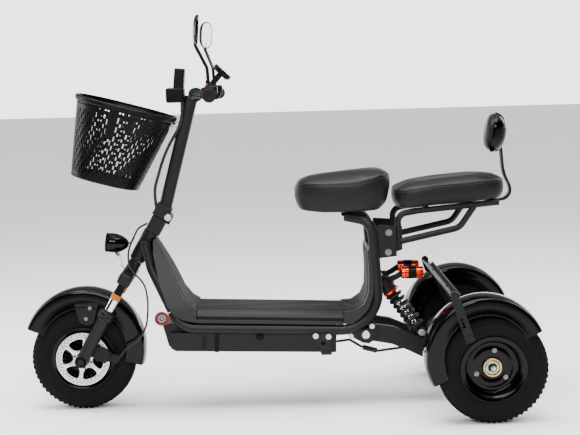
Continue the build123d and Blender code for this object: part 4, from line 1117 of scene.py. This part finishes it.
def makeFork(s):
    deep, wide = s["crownHalf"], s["half"] + s["crownPast"]
    crown = boxShape(lambda x, y, z: steerAt(z, x, y), (-deep, -wide, s["crownLow"]),
                     (deep, wide, s["crownHigh"]))
    bevelled(addPiece("forkCrown", *crown, "satinFrame", "fork", stands=("fork_upper",)), mm(6), 4)
    addSteered("forkNeck", s["neck"], 0, "satinFrame")
    addSteered("headsetCap", s["cap"], 0, "zincSteel")
    addSteered("headsetRace", s["race"], 0, "zincSteel")
    for name, side in bothSides:
        y = side * s["half"]
        addSteered("forkSleeve" + name, s["sleeve"], y, "blackPlastic")
        addSteered("stanchion" + name, s["chrome"], y, "chrome")
        addSteered("sealRing" + name, s["ring"], y, "orangeSeal", 28)
        addSteered("forkLeg" + name, s["leg"], y, "satinFrame", 28, ("fork_lower_" + name.lower(),))
        centre = at(wheelbase, y, tyreRadius)
        addTurned("axleEye" + name, s["eye"], centre, (0, side, 0), 48, "satinFrame", "fork")
        addTurned("axleNut" + name, s["nut"], centre, (0, side, 0), 36, "castBlack", "fork", 28)
    spots = [(steerAt(s["boltsUp"], deep, side * y), steerAcross) for side in (1, -1) for y in s["boltsOut"]]
    addBolts("crownBolts", spots, 4, 3.5, "zincSteel", "fork")


makeFork(forkSet)

# Lobe plates that carry the front fender's bolts; the outline is measured from the wheel's centre
lobeSet = {"outline": [(18, 170), (14, 150), (9, 126), (4, 114), (-3, 108), (-12, 104), (-21, 103),
                       (-30, 105), (-37, 111), (-42, 124), (-49, 150), (-56, 170)], "y": 49.6, "thick": 2.8,
           "bolts": [(1161, 49.7, 313), (1174, 49.7, 281)]}


def makeLobes(s):
    outline = [(wheelbase + x, tyreRadius + z) for x, z in s["outline"]]
    for name, side in bothSides:
        low, high = sorted((side * s["y"], side * (s["y"] - s["thick"])))
        bevelled(addPiece("fenderLobe" + name, *prismShape(outline, low, high), "glossBlack", "fork"),
                 mm(0.6))
    addBolts("frontFenderBolts", sideSpots(*s["bolts"]), 3.8, 3.0, "darkZinc", "fork")


makeLobes(lobeSet)

# Headlight: bullet shell, ribbed bezel, curved lens, bright strap
lampSet = {
    "place": steerAt(339.8, 102.7), "way": (-0.995, 0, -0.1),
    "strap": [at(1076, 0, 474), at(1070, 0, 458), at(1060, 0, 422), at(1048, 0, 417)],
    "bolts": [(at(1079, 0, 466), (1, 0, -0.2)), (at(1063, 0, 432), (1, 0, -0.25))],
    "pivot": (at(1082, 0, 477), at(1074, 0, 462), mm(6), 20),
    "shell": [(2, 0), (2, 26.6), (3, 28.3), (8, 29.4), (14, 29.9), (22, 29.6), (30, 28.4), (40, 25.6),
              (48, 22), (56, 17.4), (62, 12.4), (65.5, 7), (66.6, 0)],
    "bezel": [(2.8, 24), (-1.6, 24.6), (-2.6, 26), (-2.4, 28.6), (-1, 29.6), (0.6, 29.6), (1.2, 28.8),
              (1.8, 28.8), (2.4, 29.4), (3.4, 29.2), (3.4, 26)],
    "lens": [(1.5, 24.4), (-1, 24.2), (-3, 20), (-4.6, 13), (-5.3, 6), (-5.5, 0), (1.5, 0)],
}


def makeLamp(s):
    for name, profile, finish, sharp, stands in (
            ("lampShell", s["shell"], "glossBlack", 40, ("headlight",)),
            ("lampBezel", s["bezel"], "blackPlastic", 30, ()), ("lampLens", s["lens"], "lampLens", 50, ())):
        addTurned(name, profile, s["place"], s["way"], 64, finish, "fork", sharp, stands)
    strap = sweptShape(roundedPath(s["strap"], [mm(8), mm(7)], 5),
                       scaled([(-8, -1), (8, -1), (8, 1), (-8, 1)]))
    bevelled(addPiece("lampStrap", *strap, "zincSteel", "fork", stands=("headlight_bracket",)), mm(0.4))
    addBolts("lampBolts", s["bolts"], 4.2, 5.0, "zincSteel", "fork")
    addPiece("lampPivot", *rodShape(*s["pivot"]), "blackPlastic", "fork")


makeLamp(lampSet)

# Horn: bright body, red ring, plain slotted grille
hornSet = {
    "x": 941.0, "z": 288.0, "slots": 14, "grilleY": 116.9, "rimRadius": 15.2, "hubRadius": 3.2,
    "strap": [at(938, 104, 291), at(926, 97, 301), at(912, 90, 304)],
    "body": [(99, 0), (99, 12), (101, 15.6), (104, 17.4), (112, 18), (113.2, 19.6), (113.2, 0)],
    "ring": [(113.2, 15.4), (113.2, 20.3), (114.4, 21), (117.4, 21), (118.6, 20), (118.6, 17), (117.4, 15.8)],
    "face": [(113, 0), (113, 16), (116.2, 15.8), (116.2, 0)],
    "slot": [(5, -0.8), (12.6, -1.7), (13.4, 0), (12.6, 1.7), (5, 0.8)],
}


def makeHorn(s):
    place = at(s["x"], 0, s["z"])
    addTurned("hornBody", s["body"], place, wheelAxis, 56, "zincSteel", "chassis", 30, ("horn",))
    addTurned("hornRing", s["ring"], place, wheelAxis, 56, "hornRed", "chassis", 30)
    addTurned("hornFace", s["face"], place, wheelAxis, 48, "hornWhite", "chassis")
    outlines = [circleSection(s["rimRadius"], 48), circleSection(s["hubRadius"], 20)]
    outlines += [turnedPoints(s["slot"], 360 / s["slots"] * k) for k in range(s["slots"])]
    turn = Matrix.Translation(at(s["x"], s["grilleY"], s["z"])) @ Matrix.Rotation(math.radians(90), 4, "X")
    flatPiece("hornGrille", outlines, 1.0, turn, "blackPlastic", "chassis")
    addPiece("hornStrap", *tubeShape(s["strap"], mm(10), mm(3.2)), "zincSteel", "chassis")


makeHorn(hornSet)


# Handlebar furniture
def addPair(name, shape, finish, sharp=35.0, stands="", soft=0.0):
    # a piece on the left of the bar and its mirror image
    verts, faces = shape
    mirrored = [Vector((v[0], -v[1], v[2])) for v in verts], [tuple(reversed(face)) for face in faces]
    for label, form in (("Left", shape), ("Right", mirrored)):
        replaced = (stands + "_" + label.lower(),) if stands else ()
        piece = addPiece(name + label, *form, finish, "stem", sharp, replaced)
        if soft:
            bevelled(piece, mm(soft))


def moved(place, x, y, z):
    return place + Vector((mm(x), mm(y), mm(z)))


def boxAround(centre, size, turn=0.0):
    spin = Matrix.Rotation(math.radians(turn), 4, "Y")
    reach = [length / 2 for length in size]
    return boxShape(lambda x, y, z: centre + spin @ Vector((mm(x), mm(y), mm(z))), [-r for r in reach], reach)


gripSet = {"length": 122.0, "radius": 16.2, "rib": 17.2, "ribs": 22}
barEnd, barInner = at(770, 300, 938), at(778, 123, 940)
barWay = (barEnd - barInner).normalized()
podMiddle = barEnd - barWay * mm(119) - barWay * mm(22)
podSet = {
    "clamp": [(-21, 11.3), (-21, 17.6), (-19.5, 19), (-1.4, 19), (-0.6, 18.2), (0.6, 18.2), (1.4, 19),
              (19.5, 19), (21, 17.6), (21, 11.3)],
    "lever": [moved(podMiddle, 12, -8, -1), moved(podMiddle, 44, 6, -6), at(824, 270, 930)],
    "button": [(0, 0), (0, 5.2), (3, 5.2), (4, 4.2), (4, 0)],
}


def gripProfile(s):
    start = -s["length"] + 3
    profile = [(start, 11.4), (start, 20.2), (start + 1, 21), (start + 4, 21), (start + 5.4, 19.6),
               (start + 6, 17)]
    pitch = (s["length"] - 18) / s["ribs"]
    for k in range(s["ribs"]):
        low = start + 7 + pitch * k
        profile += [(low, s["radius"]), (low + pitch * 0.3, s["rib"]), (low + pitch * 0.62, s["rib"]),
                    (low + pitch * 0.9, s["radius"])]
    return profile + [(-5, 18), (-3.6, 19), (1.5, 19), (3.6, 17.6), (4, 14), (2.6, 9), (2.2, 0), (0.6, 0),
                      (0.6, 11.4)]


def makeControls(s):
    addPair("podClamp", latheShape(s["clamp"], podMiddle, barWay, 40), "blackPlastic", 28, "control")
    addPair("podBox", boxAround(moved(podMiddle, -4, 0, 12), (38, 34, 25)), "blackPlastic", soft=5)
    path = roundedPath(s["lever"], mm(16), 8)
    scales = [1.0 - 0.25 * k / (len(path) - 1) for k in range(len(path))]
    section = [(a * 0.55, b * 1.05) for a, b in circleSection(mm(7.4), 16)]
    addPair("brakeLever", sweptShape(path, section, (0, 0, 1), scales=scales), "satinFrame", 60)
    addPair("leverPerch", boxAround(moved(podMiddle, 16, -8, -2), (24, 20, 17)), "castBlack", soft=3.5)
    for name, place, size, turn in (("redSwitch", at(783, 158, 966), (7, 17, 9), 32),
                                    ("orangeSwitch", at(780, 150, 944), (6, 13, 9), 0)):
        bevelled(addPiece(name, *boxAround(place, size, turn), name, "stem"), mm(1.6), 3)
    addTurned("hornButton", s["button"], at(776, 168, 956), (-1, 0, 0.15), 24, "softRubber", "stem")


addPair("grip", latheShape(gripProfile(gripSet), barEnd, barWay, 48), "softRubber", 24, "grip")
makeControls(podSet)


# Mirrors: domed shell, inset glass, bent stalk; a layer is its inset and its depth
def pillow(centre, halfWide, halfTall, layers, turn, power=2.8, sides=56, lean=4.0):
    spin = Matrix.Rotation(math.radians(turn), 4, "Z") @ Matrix.Rotation(math.radians(-lean), 4, "Y")
    verts = [centre + spin @ Vector((mm(depth), mm((halfWide - inset) * c), mm((halfTall - inset) * d)))
             for inset, depth in layers for c, d in squaredTurn(power, sides)]
    return verts, ringFaces(len(layers), sides) + capFaces(len(layers), sides, True)


mirrorSet = {
    "shell": [(30, 7.2), (18, 6.2), (8, 3.6), (2.6, 0), (0.4, -3.4), (0, -5.6), (1, -6.8), (3.4, -6.8),
              (3.8, -5.2), (30, -5.2)],
    "x": 806, "z": 1120, "shellSize": (64, 42), "glassSize": (60, 38),
    "glass": [(0, -5.1), (0.6, -5.9), (30, -6.1)], "heads": (("Left", 238, 6.0), ("Right", -238, -12.0)),
    "stalk": [moved(podMiddle, 2, 0, 26), moved(podMiddle, 4, 4, 75), at(808, 232, 1078), at(807, 233, 1112)],
    "foot": [(20, 0), (20, 9), (27, 9), (29, 7), (40, 6.4), (41, 5), (41, 0)],
}


def makeMirrors(s):
    # each head is turned on its ball by its own small angle
    for label, y, turn in s["heads"]:
        centre = at(s["x"], y, s["z"])
        addPiece("mirrorShell" + label, *pillow(centre, *s["shellSize"], s["shell"], turn), "glossBlack",
                 "stem", 40, ("mirror_" + label.lower(),))
        addPiece("mirrorGlass" + label, *pillow(centre, *s["glassSize"], s["glass"], turn), "mirrorGlass",
                 "stem", 30)
    addPair("mirrorStalk", tubeShape(s["stalk"], mm(18), mm(5)), "glossBlack", 60)
    addPair("mirrorFoot", latheShape(s["foot"], moved(podMiddle, 2, 0, 0), (0.04, 0, 1), 28), "blackPlastic")


makeMirrors(mirrorSet)

# Round display on the right of the bar
displaySet = {
    "place": at(750, -88, 1002), "way": Vector((-0.70, 0, 0.72)).normalized(),
    "stalk": (at(756, -88, 996), at(800, -88, 946), mm(9)), "clampAt": at(801, -89, 940),
    "clampWay": (0.49, 0.87, 0),
    "case": [(-9, 0), (-9, 22), (-6, 28), (-1, 30.6), (5, 31), (7.6, 30), (8.4, 27.6), (7.4, 26.4), (7.4, 0)],
    "glass": [(7.2, 0), (7.2, 26.2), (7.9, 25.6), (8.1, 0)],
    "clamp": [(-12, 11.3), (-12, 17), (-10.6, 18.4), (10.6, 18.4), (12, 17), (12, 11.3)],
}


def makeDisplay(s):
    addTurned("displayCase", s["case"], s["place"], s["way"], 56, "blackPlastic", "stem", 30, ("display",),
              (0, 1, 0))
    addTurned("displayGlass", s["glass"], s["place"], s["way"], 56, "screenGlass", "stem", forward=(0, 1, 0))
    addPiece("displayStalk", *rodShape(*s["stalk"]), "blackPlastic", "stem")
    addTurned("displayClamp", s["clamp"], s["clampAt"], s["clampWay"], 36, "blackPlastic", "stem", 30,
              forward=(0, 0, 1))


makeDisplay(displaySet)
print("trike: front end made")


# Basket: tapered oval wall of staggered slots, floor grid, rolled rim of (inset, depth) points
basketSet = {
    "x": 1030.0, "z": 912.0, "halfLong": 148.0, "halfWide": 135.0, "footLong": 102.0, "footWide": 100.0,
    "footShift": 12.0, "depth": 236.0, "tilt": 15.6, "columns": 192, "rows": 40, "wallTop": 12,
    "narrow": 0.08,
    "wall": 3.4, "steps": 128, "hole": (7, 3), "pitch": (20, 12),
    "rim": [(0, 15.8), (-3.4, 15.6), (-5.6, 12), (-6, 7), (-5.2, 2.6), (-2, 0.2), (3, 0.0), (4.2, 1.2),
            (4.0, 3), (1.6, 4.6), (0.4, 9), (3.4, 15.2), (3.2, 15.8)],
}


def basketAt(u, y, depth):
    tilt = math.radians(basketSet["tilt"])
    return at(basketSet["x"] + u * math.cos(tilt) + depth * math.sin(tilt), y,
              basketSet["z"] + u * math.sin(tilt) - depth * math.cos(tilt))


def ovalPoint(s, depth, share, inset=0.0):
    # a rounded rectangle walked by length, so that slots keep an even pitch
    down = depth / s["depth"]
    long = s["halfLong"] + (s["footLong"] - s["halfLong"]) * down - inset
    wide = s["halfWide"] + (s["footWide"] - s["halfWide"]) * down - inset
    radius = wide * 0.88
    runs = [2 * (long - radius), math.pi * radius / 2, 2 * (wide - radius), math.pi * radius / 2] * 2
    left = (share % 1.0) * sum(runs)
    for index, run in enumerate(runs):
        if left <= run or index == 7:
            break
        left -= run
    corner = (index // 2) % 4
    signs = [(1, 1), (-1, 1), (-1, -1), (1, -1)][corner]
    cx, cy = signs[0] * (long - radius), signs[1] * (wide - radius)
    angle = math.pi / 2 * corner
    if index % 2 == 1:
        angle += left / radius
    else:
        back = Vector((-math.sin(angle), math.cos(angle))) * (left - run)
        cx, cy = cx + back.x, cy + back.y
    return cx + radius * math.cos(angle) + s["footShift"] * down, cy + radius * math.sin(angle)


def ringPath(s, inset, depth):
    return [basketAt(*ovalPoint(s, depth, k / s["steps"], inset), depth) for k in range(s["steps"])]


def makeSlotTree():
    # leaves out the wall cells of a staggered pattern, then gives the wall its thickness
    tree, get = startTree("slottedWall", {"Slot Period": 5, "Slot Cells": 3, "Column Shift": 2,
                                          "Solid Rows": 3,
                                          "Last Row": 37, "Wall": 0.0034})
    column, row = (storedValue(tree, label, "INT") for label in ("column", "row"))

    def calc(operation, *values):
        return mathNode(tree, operation, *values)

    pair = calc("MODULO", column, 2.0)
    shift = calc("FLOOR", calc("MULTIPLY", calc("MULTIPLY", column, 0.5), get["Column Shift"]))
    inSlot = calc("LESS_THAN", calc("MODULO", calc("ADD", row, shift), get["Slot Period"]), get["Slot Cells"])
    between = calc("MULTIPLY", calc("GREATER_THAN", row, get["Solid Rows"]),
                   calc("LESS_THAN", row, get["Last Row"]))
    opened = calc("MULTIPLY", calc("MULTIPLY", between, pair), inSlot)
    opened = calc("MULTIPLY_ADD", calc("COMPARE", row, 1.0, 0.1), pair, opened)
    cut = geo(tree, "DeleteGeometry", domain="FACE", Geometry=get["Geometry"], Selection=opened)
    push = geo(tree, "ExtrudeMesh", mode="FACES", Mesh=cut, Offset_Scale=get["Wall"], Individual=False)
    joined = joinedNodes(tree, (push, geo(tree, "FlipFaces", Mesh=cut)))
    return endTree(tree, get, geo(tree, "MergeByDistance", Geometry=joined))


def makeBasketWall(s):
    columns, rows = s["columns"], s["rows"]
    verts, faces = [], []
    for row in range(rows + 1):
        depth = s["wallTop"] + (s["depth"] - s["wallTop"]) * row / rows
        for column in range(columns):
            narrow = -s["narrow"] if column % 2 else s["narrow"]
            x, y = ovalPoint(s, depth, (column + narrow) / columns, s["wall"])
            verts.append(basketAt(x, y, depth))
    for here in range(0, rows * columns, columns):
        below = here + columns
        for column in range(columns):
            after = (column + 1) % columns
            faces.append((here + column, below + column, below + after, here + after))
    rowOf = [row for row in range(rows) for column in range(columns)]
    base = baseMesh("basketWall", verts, (), faces, "FACE", "INT", column=list(range(columns)) * rows,
                    row=rowOf)
    values = {"Wall": mm(s["wall"])}
    runTree("basketWall", makeSlotTree(), values, "blackPlastic", "stem", base=base, stands=("basket",))


def makeBasketFloor(s):
    long, wide = s["footLong"] - 1, s["footWide"] - 1
    (halfX, halfY), (pitchX, pitchY) = s["hole"], s["pitch"]
    outline = [ovalPoint(s, s["depth"], k / 96, 1.0) for k in range(96)]
    outlines = [[(x - s["footShift"], y) for x, y in outline]]
    for i in range(-4, 5):
        for j in range(-7, 8):
            x, y = i * pitchX, j * pitchY + (pitchY / 2 if i % 2 else 0)
            if (abs(x) + 8) ** 2 / (long - 8) ** 2 + (abs(y) + 4) ** 2 / (wide - 8) ** 2 < 1:
                outlines.append([(x - halfX, y - halfY), (x + halfX, y - halfY), (x + halfX, y + halfY),
                                 (x - halfX, y + halfY)])
    place = Matrix.Translation(basketAt(s["footShift"], 0, s["depth"] - 2))
    turn = Matrix.Rotation(-math.radians(s["tilt"]), 4, "Y")
    flatPiece("basketFloor", outlines, 3.0, place @ turn, "blackPlastic", "stem")


def makeBasketRim(s):
    verts = [spot for inset, depth in s["rim"] for spot in ringPath(s, inset, depth)]
    addPiece("basketRim", verts, ringFaces(len(s["rim"]), s["steps"], True), "blackPlastic", "stem", 50)
    foot = sweptShape(ringPath(s, 1.6, s["depth"] - 3), circleSection(mm(2.6), 10), closed=True)
    addPiece("basketFootRing", *foot, "blackPlastic", "stem", 60)


makeBasketWall(basketSet)
makeBasketFloor(basketSet)
makeBasketRim(basketSet)
softened("basketBracket", "basket_bracket", "zincSteel", "stem", 0.8)
print("trike: basket made")


# Rear dampers: eyes, bright rod, body, perch rings, remote reservoir and its bridge
shockTop, shockFoot = at(300, 0, 394), at(172, 0, 215)
shockWay = (shockFoot - shockTop).normalized()
shockLength = (shockFoot - shockTop).length * 1000
shockSet = {
    "y": 50.0, "turns": 6.5, "coil": 20.6, "wire": 3.7, "coilStart": 70.5, "coilHigh": shockLength - 101,
    "rod": [(60, 0), (60, 6.8), (shockLength - 12, 6.8), (shockLength - 12, 0)],
    "body": [(8, 0), (10, 11), (20, 13), (22, 18), (23.5, 21.4), (26, 22), (44, 22), (45, 20.6), (47, 20.6),
             (48, 22), (60, 22), (61.8, 21), (61.8, 0)],
    "perch": [(62, 14), (62, 24), (63, 25), (64.8, 25), (65.4, 24.2), (66.6, 24.2), (67.2, 25), (69.2, 25),
              (70, 24), (70, 14)],
    "seat": [(shockLength + a, r) for a, r in ((-30, 7), (-30, 24), (-29, 25), (-23.4, 25), (-22, 23),
                                               (-14, 12), (-8, 11), (-8, 7))],
    "bump": [(70, 7), (70, 13), (76, 14), (82, 12), (88, 13.4), (94, 11), (98, 7)],
    "eye": [(-11, 5), (-11, 12), (-10, 13), (10, 13), (11, 12), (11, 5)],
    "reservoir": [(0, 0), (0, 15.4), (1.4, 17.2), (9, 17.8), (10, 16.6), (11, 16.6), (12, 18), (53, 18),
                  (54, 16.6), (55, 16.6), (56, 17.8), (64, 17.2), (66, 15), (66, 0)],
    "band": [(20, 17.6), (20, 18.4), (44, 18.4), (44, 17.6)],
}


def makeDamper(name, side, s):
    y = side * s["y"]
    rows = [("damperBody", "body", "castBlack", 48, 30), ("damperRod", "rod", "chrome", 48, 35),
            ("springPerch", "perch", "redAnodised", 40, 28), ("springSeat", "seat", "castBlack", 40, 28),
            ("bumpStop", "bump", "softRubber", 32, 40)]
    for label, profile, finish, segments, sharp in rows:
        stands = ("shock_" + name.lower(),) if label == "damperBody" else ()
        addTurned(label + name, s[profile], moved(shockTop, 0, y, 0), shockWay, segments, finish, "chassis",
                  sharp,
                  stands, (0, 1, 0))
    for spot, label in ((shockTop, "Top"), (shockFoot, "Foot")):
        place = moved(spot, 0, y, 0)
        addTurned("damperEye" + label + name, s["eye"], place, wheelAxis, 36, "castBlack", "chassis", 30)
    for label, profile, finish in (("reservoir", "reservoir", "redAnodised"),
                                   ("reservoirBand", "band", "blackPlastic")):
        addTurned(label + name, s[profile], at(230, side * (s["y"] + 14), 397), (-1, 0, 0), 48, finish,
                  "chassis", 28,
                  forward=(0, 1, 0))
    line = [at(x, side * (s["y"] + out), z) for x, out, z in ((264, 3, 376), (246, 9, 384), (226, 13, 396))]
    addPiece("reservoirNeck" + name, *tubeShape(line, mm(10), mm(8.6)), "castBlack", "chassis")


def makeCoilTree():
    # a round wire wound on a cylinder
    tree, get = startTree("coilSpring", {"Turns": 6.0, "Radius": 0.02, "Height": 0.12, "Wire": 0.0036,
                                         "Steps": 30})
    spiral = geo(tree, "CurveSpiral", Resolution=get["Steps"], Rotations=get["Turns"],
                 Start_Radius=get["Radius"],
                 End_Radius=get["Radius"], Height=get["Height"])
    section = geo(tree, "CurvePrimitiveCircle", Resolution=14, Radius=get["Wire"])
    return endTree(tree, get, geo(tree, "CurveToMesh", Curve=spiral, Profile_Curve=section, Fill_Caps=True))


coilTree = makeCoilTree()


def makeSpring(name, side, s):
    values = {"Turns": s["turns"], "Radius": mm(s["coil"]), "Height": mm(s["coilHigh"] - 2 * s["wire"]),
              "Wire": mm(s["wire"])}
    centre = moved(shockTop, 0, side * s["y"], 0) + shockWay * mm(s["coilStart"])
    place = Matrix.Translation(centre + shockWay * mm(s["wire"]))
    turn = shockWay.to_track_quat("Z", "Y").to_matrix().to_4x4()
    stands = ("spring_" + name.lower(),)
    runTree("coil" + name, coilTree, values, "satinFrame", "chassis", place @ turn, stands=stands)


for name, side in bothSides:
    makeDamper(name, side, shockSet)
addBolts("shockTopBolts", sideSpots((300, 75, 394)), 8, 6, "zincSteel", "chassis")
addBolts("shockFootBolts", sideSpots((172, 67, 215)), 7, 5, "zincSteel", "chassis")
for name, side in bothSides:
    makeSpring(name, side, shockSet)

# Motor and gear case round the axle tube, with cooling ribs
driveSet = {"motorX": 96.0, "motorZ": tyreRadius + 38.6, "motorRadius": 54.0, "core": 50.5, "half": 40.0,
            "ribs": 9,
            "gearX": 40, "gearZ": tyreRadius + 14.6, "boltCircle": 52,
            "gear": [(-22, 0), (-22, 58), (-19, 61.6), (-15, 62), (15, 62), (19, 61.6), (22, 58), (22, 0)]}


def makeDrive(s):
    half, core, crest = s["half"], s["core"], s["motorRadius"]
    case = [(-half, 0), (-half, 46), (-half + 3, 50)]
    pitch = (2 * half - 10) / s["ribs"]
    for k in range(s["ribs"]):
        low = -half + 5 + pitch * k
        case += [(low, core), (low + 1, crest), (low + 1 + pitch * 0.35, crest),
                 (low + 2 + pitch * 0.35, core)]
    case += [(half - 3, 50), (half, 46), (half, 0)]
    for name, profile, place, stands in (
            ("motorCase", case, at(s["motorX"], 0, s["motorZ"]), ("drive_unit",)),
            ("gearCase", s["gear"], at(s["gearX"], 0, s["gearZ"]), ())):
        addTurned(name, profile, place, wheelAxis, 72, "castBlack", "chassis", 30, stands)
    angles = [math.radians(200 + 40 * k) for k in range(5)]
    places = [(s["gearX"] + s["boltCircle"] * math.cos(a), 22, s["gearZ"] + s["boltCircle"] * math.sin(a))
              for a in angles]
    addBolts("gearCaseBolts", sideSpots(*places), 4, 3, "zincSteel", "chassis")


makeDrive(driveSet)

# Driving axle with splined ends; a tooth is (share of its pitch, radius) points
axleSet = {"teeth": 16, "tooth": [(0.0, 8.4), (0.22, 10.0), (0.5, 10.0), (0.72, 8.4)], "start": 10,
           "end": 33.6,
           "centre": [(0, 0), (0, 6), (1.4, 5), (0.6, 2.4), (0.6, 0)]}


def makeAxle(s):
    outline = []
    for k in range(s["teeth"]):
        for share, radius in s["tooth"]:
            angle = 2 * math.pi * (k + share) / s["teeth"]
            outline.append((radius * math.cos(angle), tyreRadius + radius * math.sin(angle)))
    for name, side in bothSides:
        low, high = sorted((side * (halfTrack + s["start"]), side * (halfTrack + s["end"])))
        addPiece("axleSpline" + name, *prismShape(outline, low, high), "darkZinc", "chassis", 30)
        place = at(0, side * (halfTrack + s["end"] - 0.2), tyreRadius)
        addTurned("axleCentre" + name, s["centre"], place, (0, side, 0), 24, "zincSteel", "chassis")
    bar = rodShape(at(0, -halfTrack - 20, tyreRadius), at(0, halfTrack + 20, tyreRadius), mm(8.3), 28)
    addPiece("axleBar", *bar, "zincSteel", "chassis", stands=("rear_axle",))


makeAxle(axleSet)
print("trike: rear end made")

# Backrest: flat bar bent in an S, domed shell with a rolled lip
backrestSet = {
    "bar": [(-46, 601), (-74, 601), (-94, 607), (-105, 623), (-104, 643), (-94, 665), (-86, 690), (-82, 722),
            (-79, 762)],
    "barWide": 30.0, "barThick": 7.0, "halfWide": 103, "halfTall": 61,
    "shell": [(58, -33), (40, -31.4), (24, -27.6), (11, -20.6), (3, -10), (0, 0), (0, 6), (1.4, 7.8),
              (3.6, 7.4), (5, 4), (50, 2)],
}


def makeBackrest(s):
    path = smoothLine([at(x, 0, z) for x, z in s["bar"]])
    bar = sweptShape(path, roundedSection(mm(s["barWide"]), mm(s["barThick"]), mm(2)))
    addPiece("backrestBar", *bar, "satinFrame", "chassis", 50)
    shell = pillow(padBase, s["halfWide"], s["halfTall"], s["shell"], padSet["turn"], 3.2, 72, padSet["lean"])
    addPiece("backrestShell", *shell, "glossBlack", "chassis", 50, ("backrest_frame",))


makeBackrest(backrestSet)

# Cables from the same route points as the solids, with the wrap's band on the stem bundle
actuator = (wheelbase - 99, tyreRadius + 2)
cableSet = {
    "harness": [at(866, 25, 918), at(868, 27, 858), at(922, 24, 770), at(958, 20, 660), steerAt(507, 22, 16)],
    "hose": [at(actuator[0] + x, y, actuator[1] + z)
             for x, y, z in ((-18, 67, 10), (-38, 84, 37), (-78, 92, 63), (-102, 92, 103))]
            + [steerAt(*spot) for spot in ((253, -93, 84), (297, -57, 70), (309, 6, 48), (352, 36, 20),
                                           (424, 41, 8), (449, 24, 8))],
    "wire": [steerAt(*spot) for spot in ((360, 52, -3), (377, 36, -8), (415, 43, -10), (449, 24, -8))],
}


def addCable(name, spots, radius, body, node, sides=14):
    bends = []
    for before, here, after in zip(spots, spots[1:], spots[2:]):
        first, second = here - before, after - here
        bends.append(0.45 * min(first.length, second.length) / math.tan(first.angle(second) / 2))
    path = roundedPath(spots, bends, 7)
    addPiece(name, *sweptShape(path, circleSection(mm(radius), sides)), "cableBlack", body, 60, (node,))
    return path


def makeWrapTree():
    # a band wound round a path, for spiral wrap
    tree, get = startTree("spiralWrap", {"Pitch Turns": 36.0, "Radius": 0.0042, "Band Thickness": 0.0012,
                                         "Steps": 430})
    line = geo(tree, "ResampleCurve", Curve=geo(tree, "MeshToCurve", Mesh=get["Geometry"]),
               Count=get["Steps"])
    turn = mathNode(tree, "MULTIPLY", geo(tree, "SplineParameter"), get["Pitch Turns"])
    angle = mathNode(tree, "MULTIPLY", turn, 6.283185)
    spin = addNode(tree, "ShaderNodeVectorRotate", rotation_type="AXIS_ANGLE",
                   Vector=geo(tree, "InputNormal"),
                   Axis=geo(tree, "InputTangent"), Angle=angle).outputs[0]
    move = addNode(tree, "ShaderNodeVectorMath", operation="SCALE", i0=spin, Scale=get["Radius"]).outputs[0]
    wound = geo(tree, "SetPosition", Geometry=line, Offset=move)
    section = geo(tree, "CurvePrimitiveCircle", Resolution=6, Radius=get["Band Thickness"])
    return endTree(tree, get, geo(tree, "CurveToMesh", Curve=wound, Profile_Curve=section, Fill_Caps=True))


def makeCables(s):
    path = addCable("harness", s["harness"], 4.3, "stem", "stem_harness")
    addCable("brakeHose", s["hose"], 2.9, "fork", "brake_hose")
    addCable("lampWire", s["wire"], 2.1, "fork", "lamp_wire", 10)
    base = baseMesh("harnessWrap", path, [(k, k + 1) for k in range(len(path) - 1)])
    runTree("harnessWrap", makeWrapTree(), {}, "cableBlack", "stem", base=base, sharp=180)


makeCables(cableSet)

# Fixings on the frame: radius, height, finish and places on the left, in millimetres of the drawing
fixings = {
    "plateBolts": (6.5, 4.5, "darkZinc", [(268, 98.2, 522), (270, 98.2, 464)]),
    "gussetBolts": (5.0, 4.0, "zincSteel", [(385, 98.2, 216), (322, 98.2, 244)]),
    "bracketBolts": (5.5, 4.0, "zincSteel", [(452, 111.2, 219), (490, 111.2, 222)]),
}
for name, (radius, height, finish, places) in fixings.items():
    addBolts(name, sideSpots(*places), radius, height, finish, "chassis")

# Fold hinge bolt with its round heads, and the pivot bolt of the swing arm
pinSet = {
    "fold": [(26, 0), (26, 9.4), (27.6, 10.4), (30.4, 10.4), (32, 9), (32, 4.6), (30.6, 4), (30.6, 0)],
    "foldAt": steerAt(497, -24, 0), "pivotX": 341, "pivotZ": 220, "pivotHalf": 100,
    "pivot": [(98.3, 0), (98.3, 11.4), (99.6, 12), (103.6, 12), (105, 10.4), (105, 0)],
}
pivotEnds = [at(pinSet["pivotX"], side * pinSet["pivotHalf"], pinSet["pivotZ"]) for side in (-1, 1)]
for name, side in bothSides:
    axis = (0, side, 0)
    addTurned("foldBolt" + name, pinSet["fold"], pinSet["foldAt"], axis, 32, "zincSteel", "stem", 28)
    addTurned("pivotHead" + name, pinSet["pivot"], pivotEnds[0].lerp(pivotEnds[1], 0.5), axis, 48,
              "zincSteel", "chassis", 28)
addPiece("pivotShaft", *rodShape(*pivotEnds, mm(8), 28), "zincSteel", "chassis", stands=("pivot_bolt",))

# Weld beads, small overlapping ripples round the frame's joints: x, y, z, radius and number of ripples
weldSet = {
    "size": 2.2, "ripple": 0.16, "steps": 4,
    "joints": [(341, 78, 220, 14, 22), (0, 78, tyreRadius, 26.6, 40), (239, 75, 510, 8.4, 16),
               (150, 76, 585.8, 7.4, 14), (-40, 76, 601, 7.4, 14)],
}


def weldShape(centre, radius, count, s):
    axis = Vector(wheelAxis)
    forward = axis.orthogonal().normalized()
    rising = axis.cross(forward)
    path, scales = [], []
    steps = count * s["steps"]
    for k in range(steps):
        angle = math.radians(360 * k / steps)
        path.append(centre + (forward * math.cos(angle) + rising * math.sin(angle)) * mm(radius))
        scales.append(1.0 + s["ripple"] * math.cos(2 * math.pi * k / s["steps"]))
    return sweptShape(path, circleSection(mm(s["size"]), 8), wheelAxis, True, scales)


beads = [weldShape(at(x, side * y, z), radius, count, weldSet) for x, y, z, radius, count in weldSet["joints"]
         for side in (1, -1)]
addPiece("weldBeads", *joinShapes(beads), "satinFrame", "chassis", 60)
print("trike: trim made")
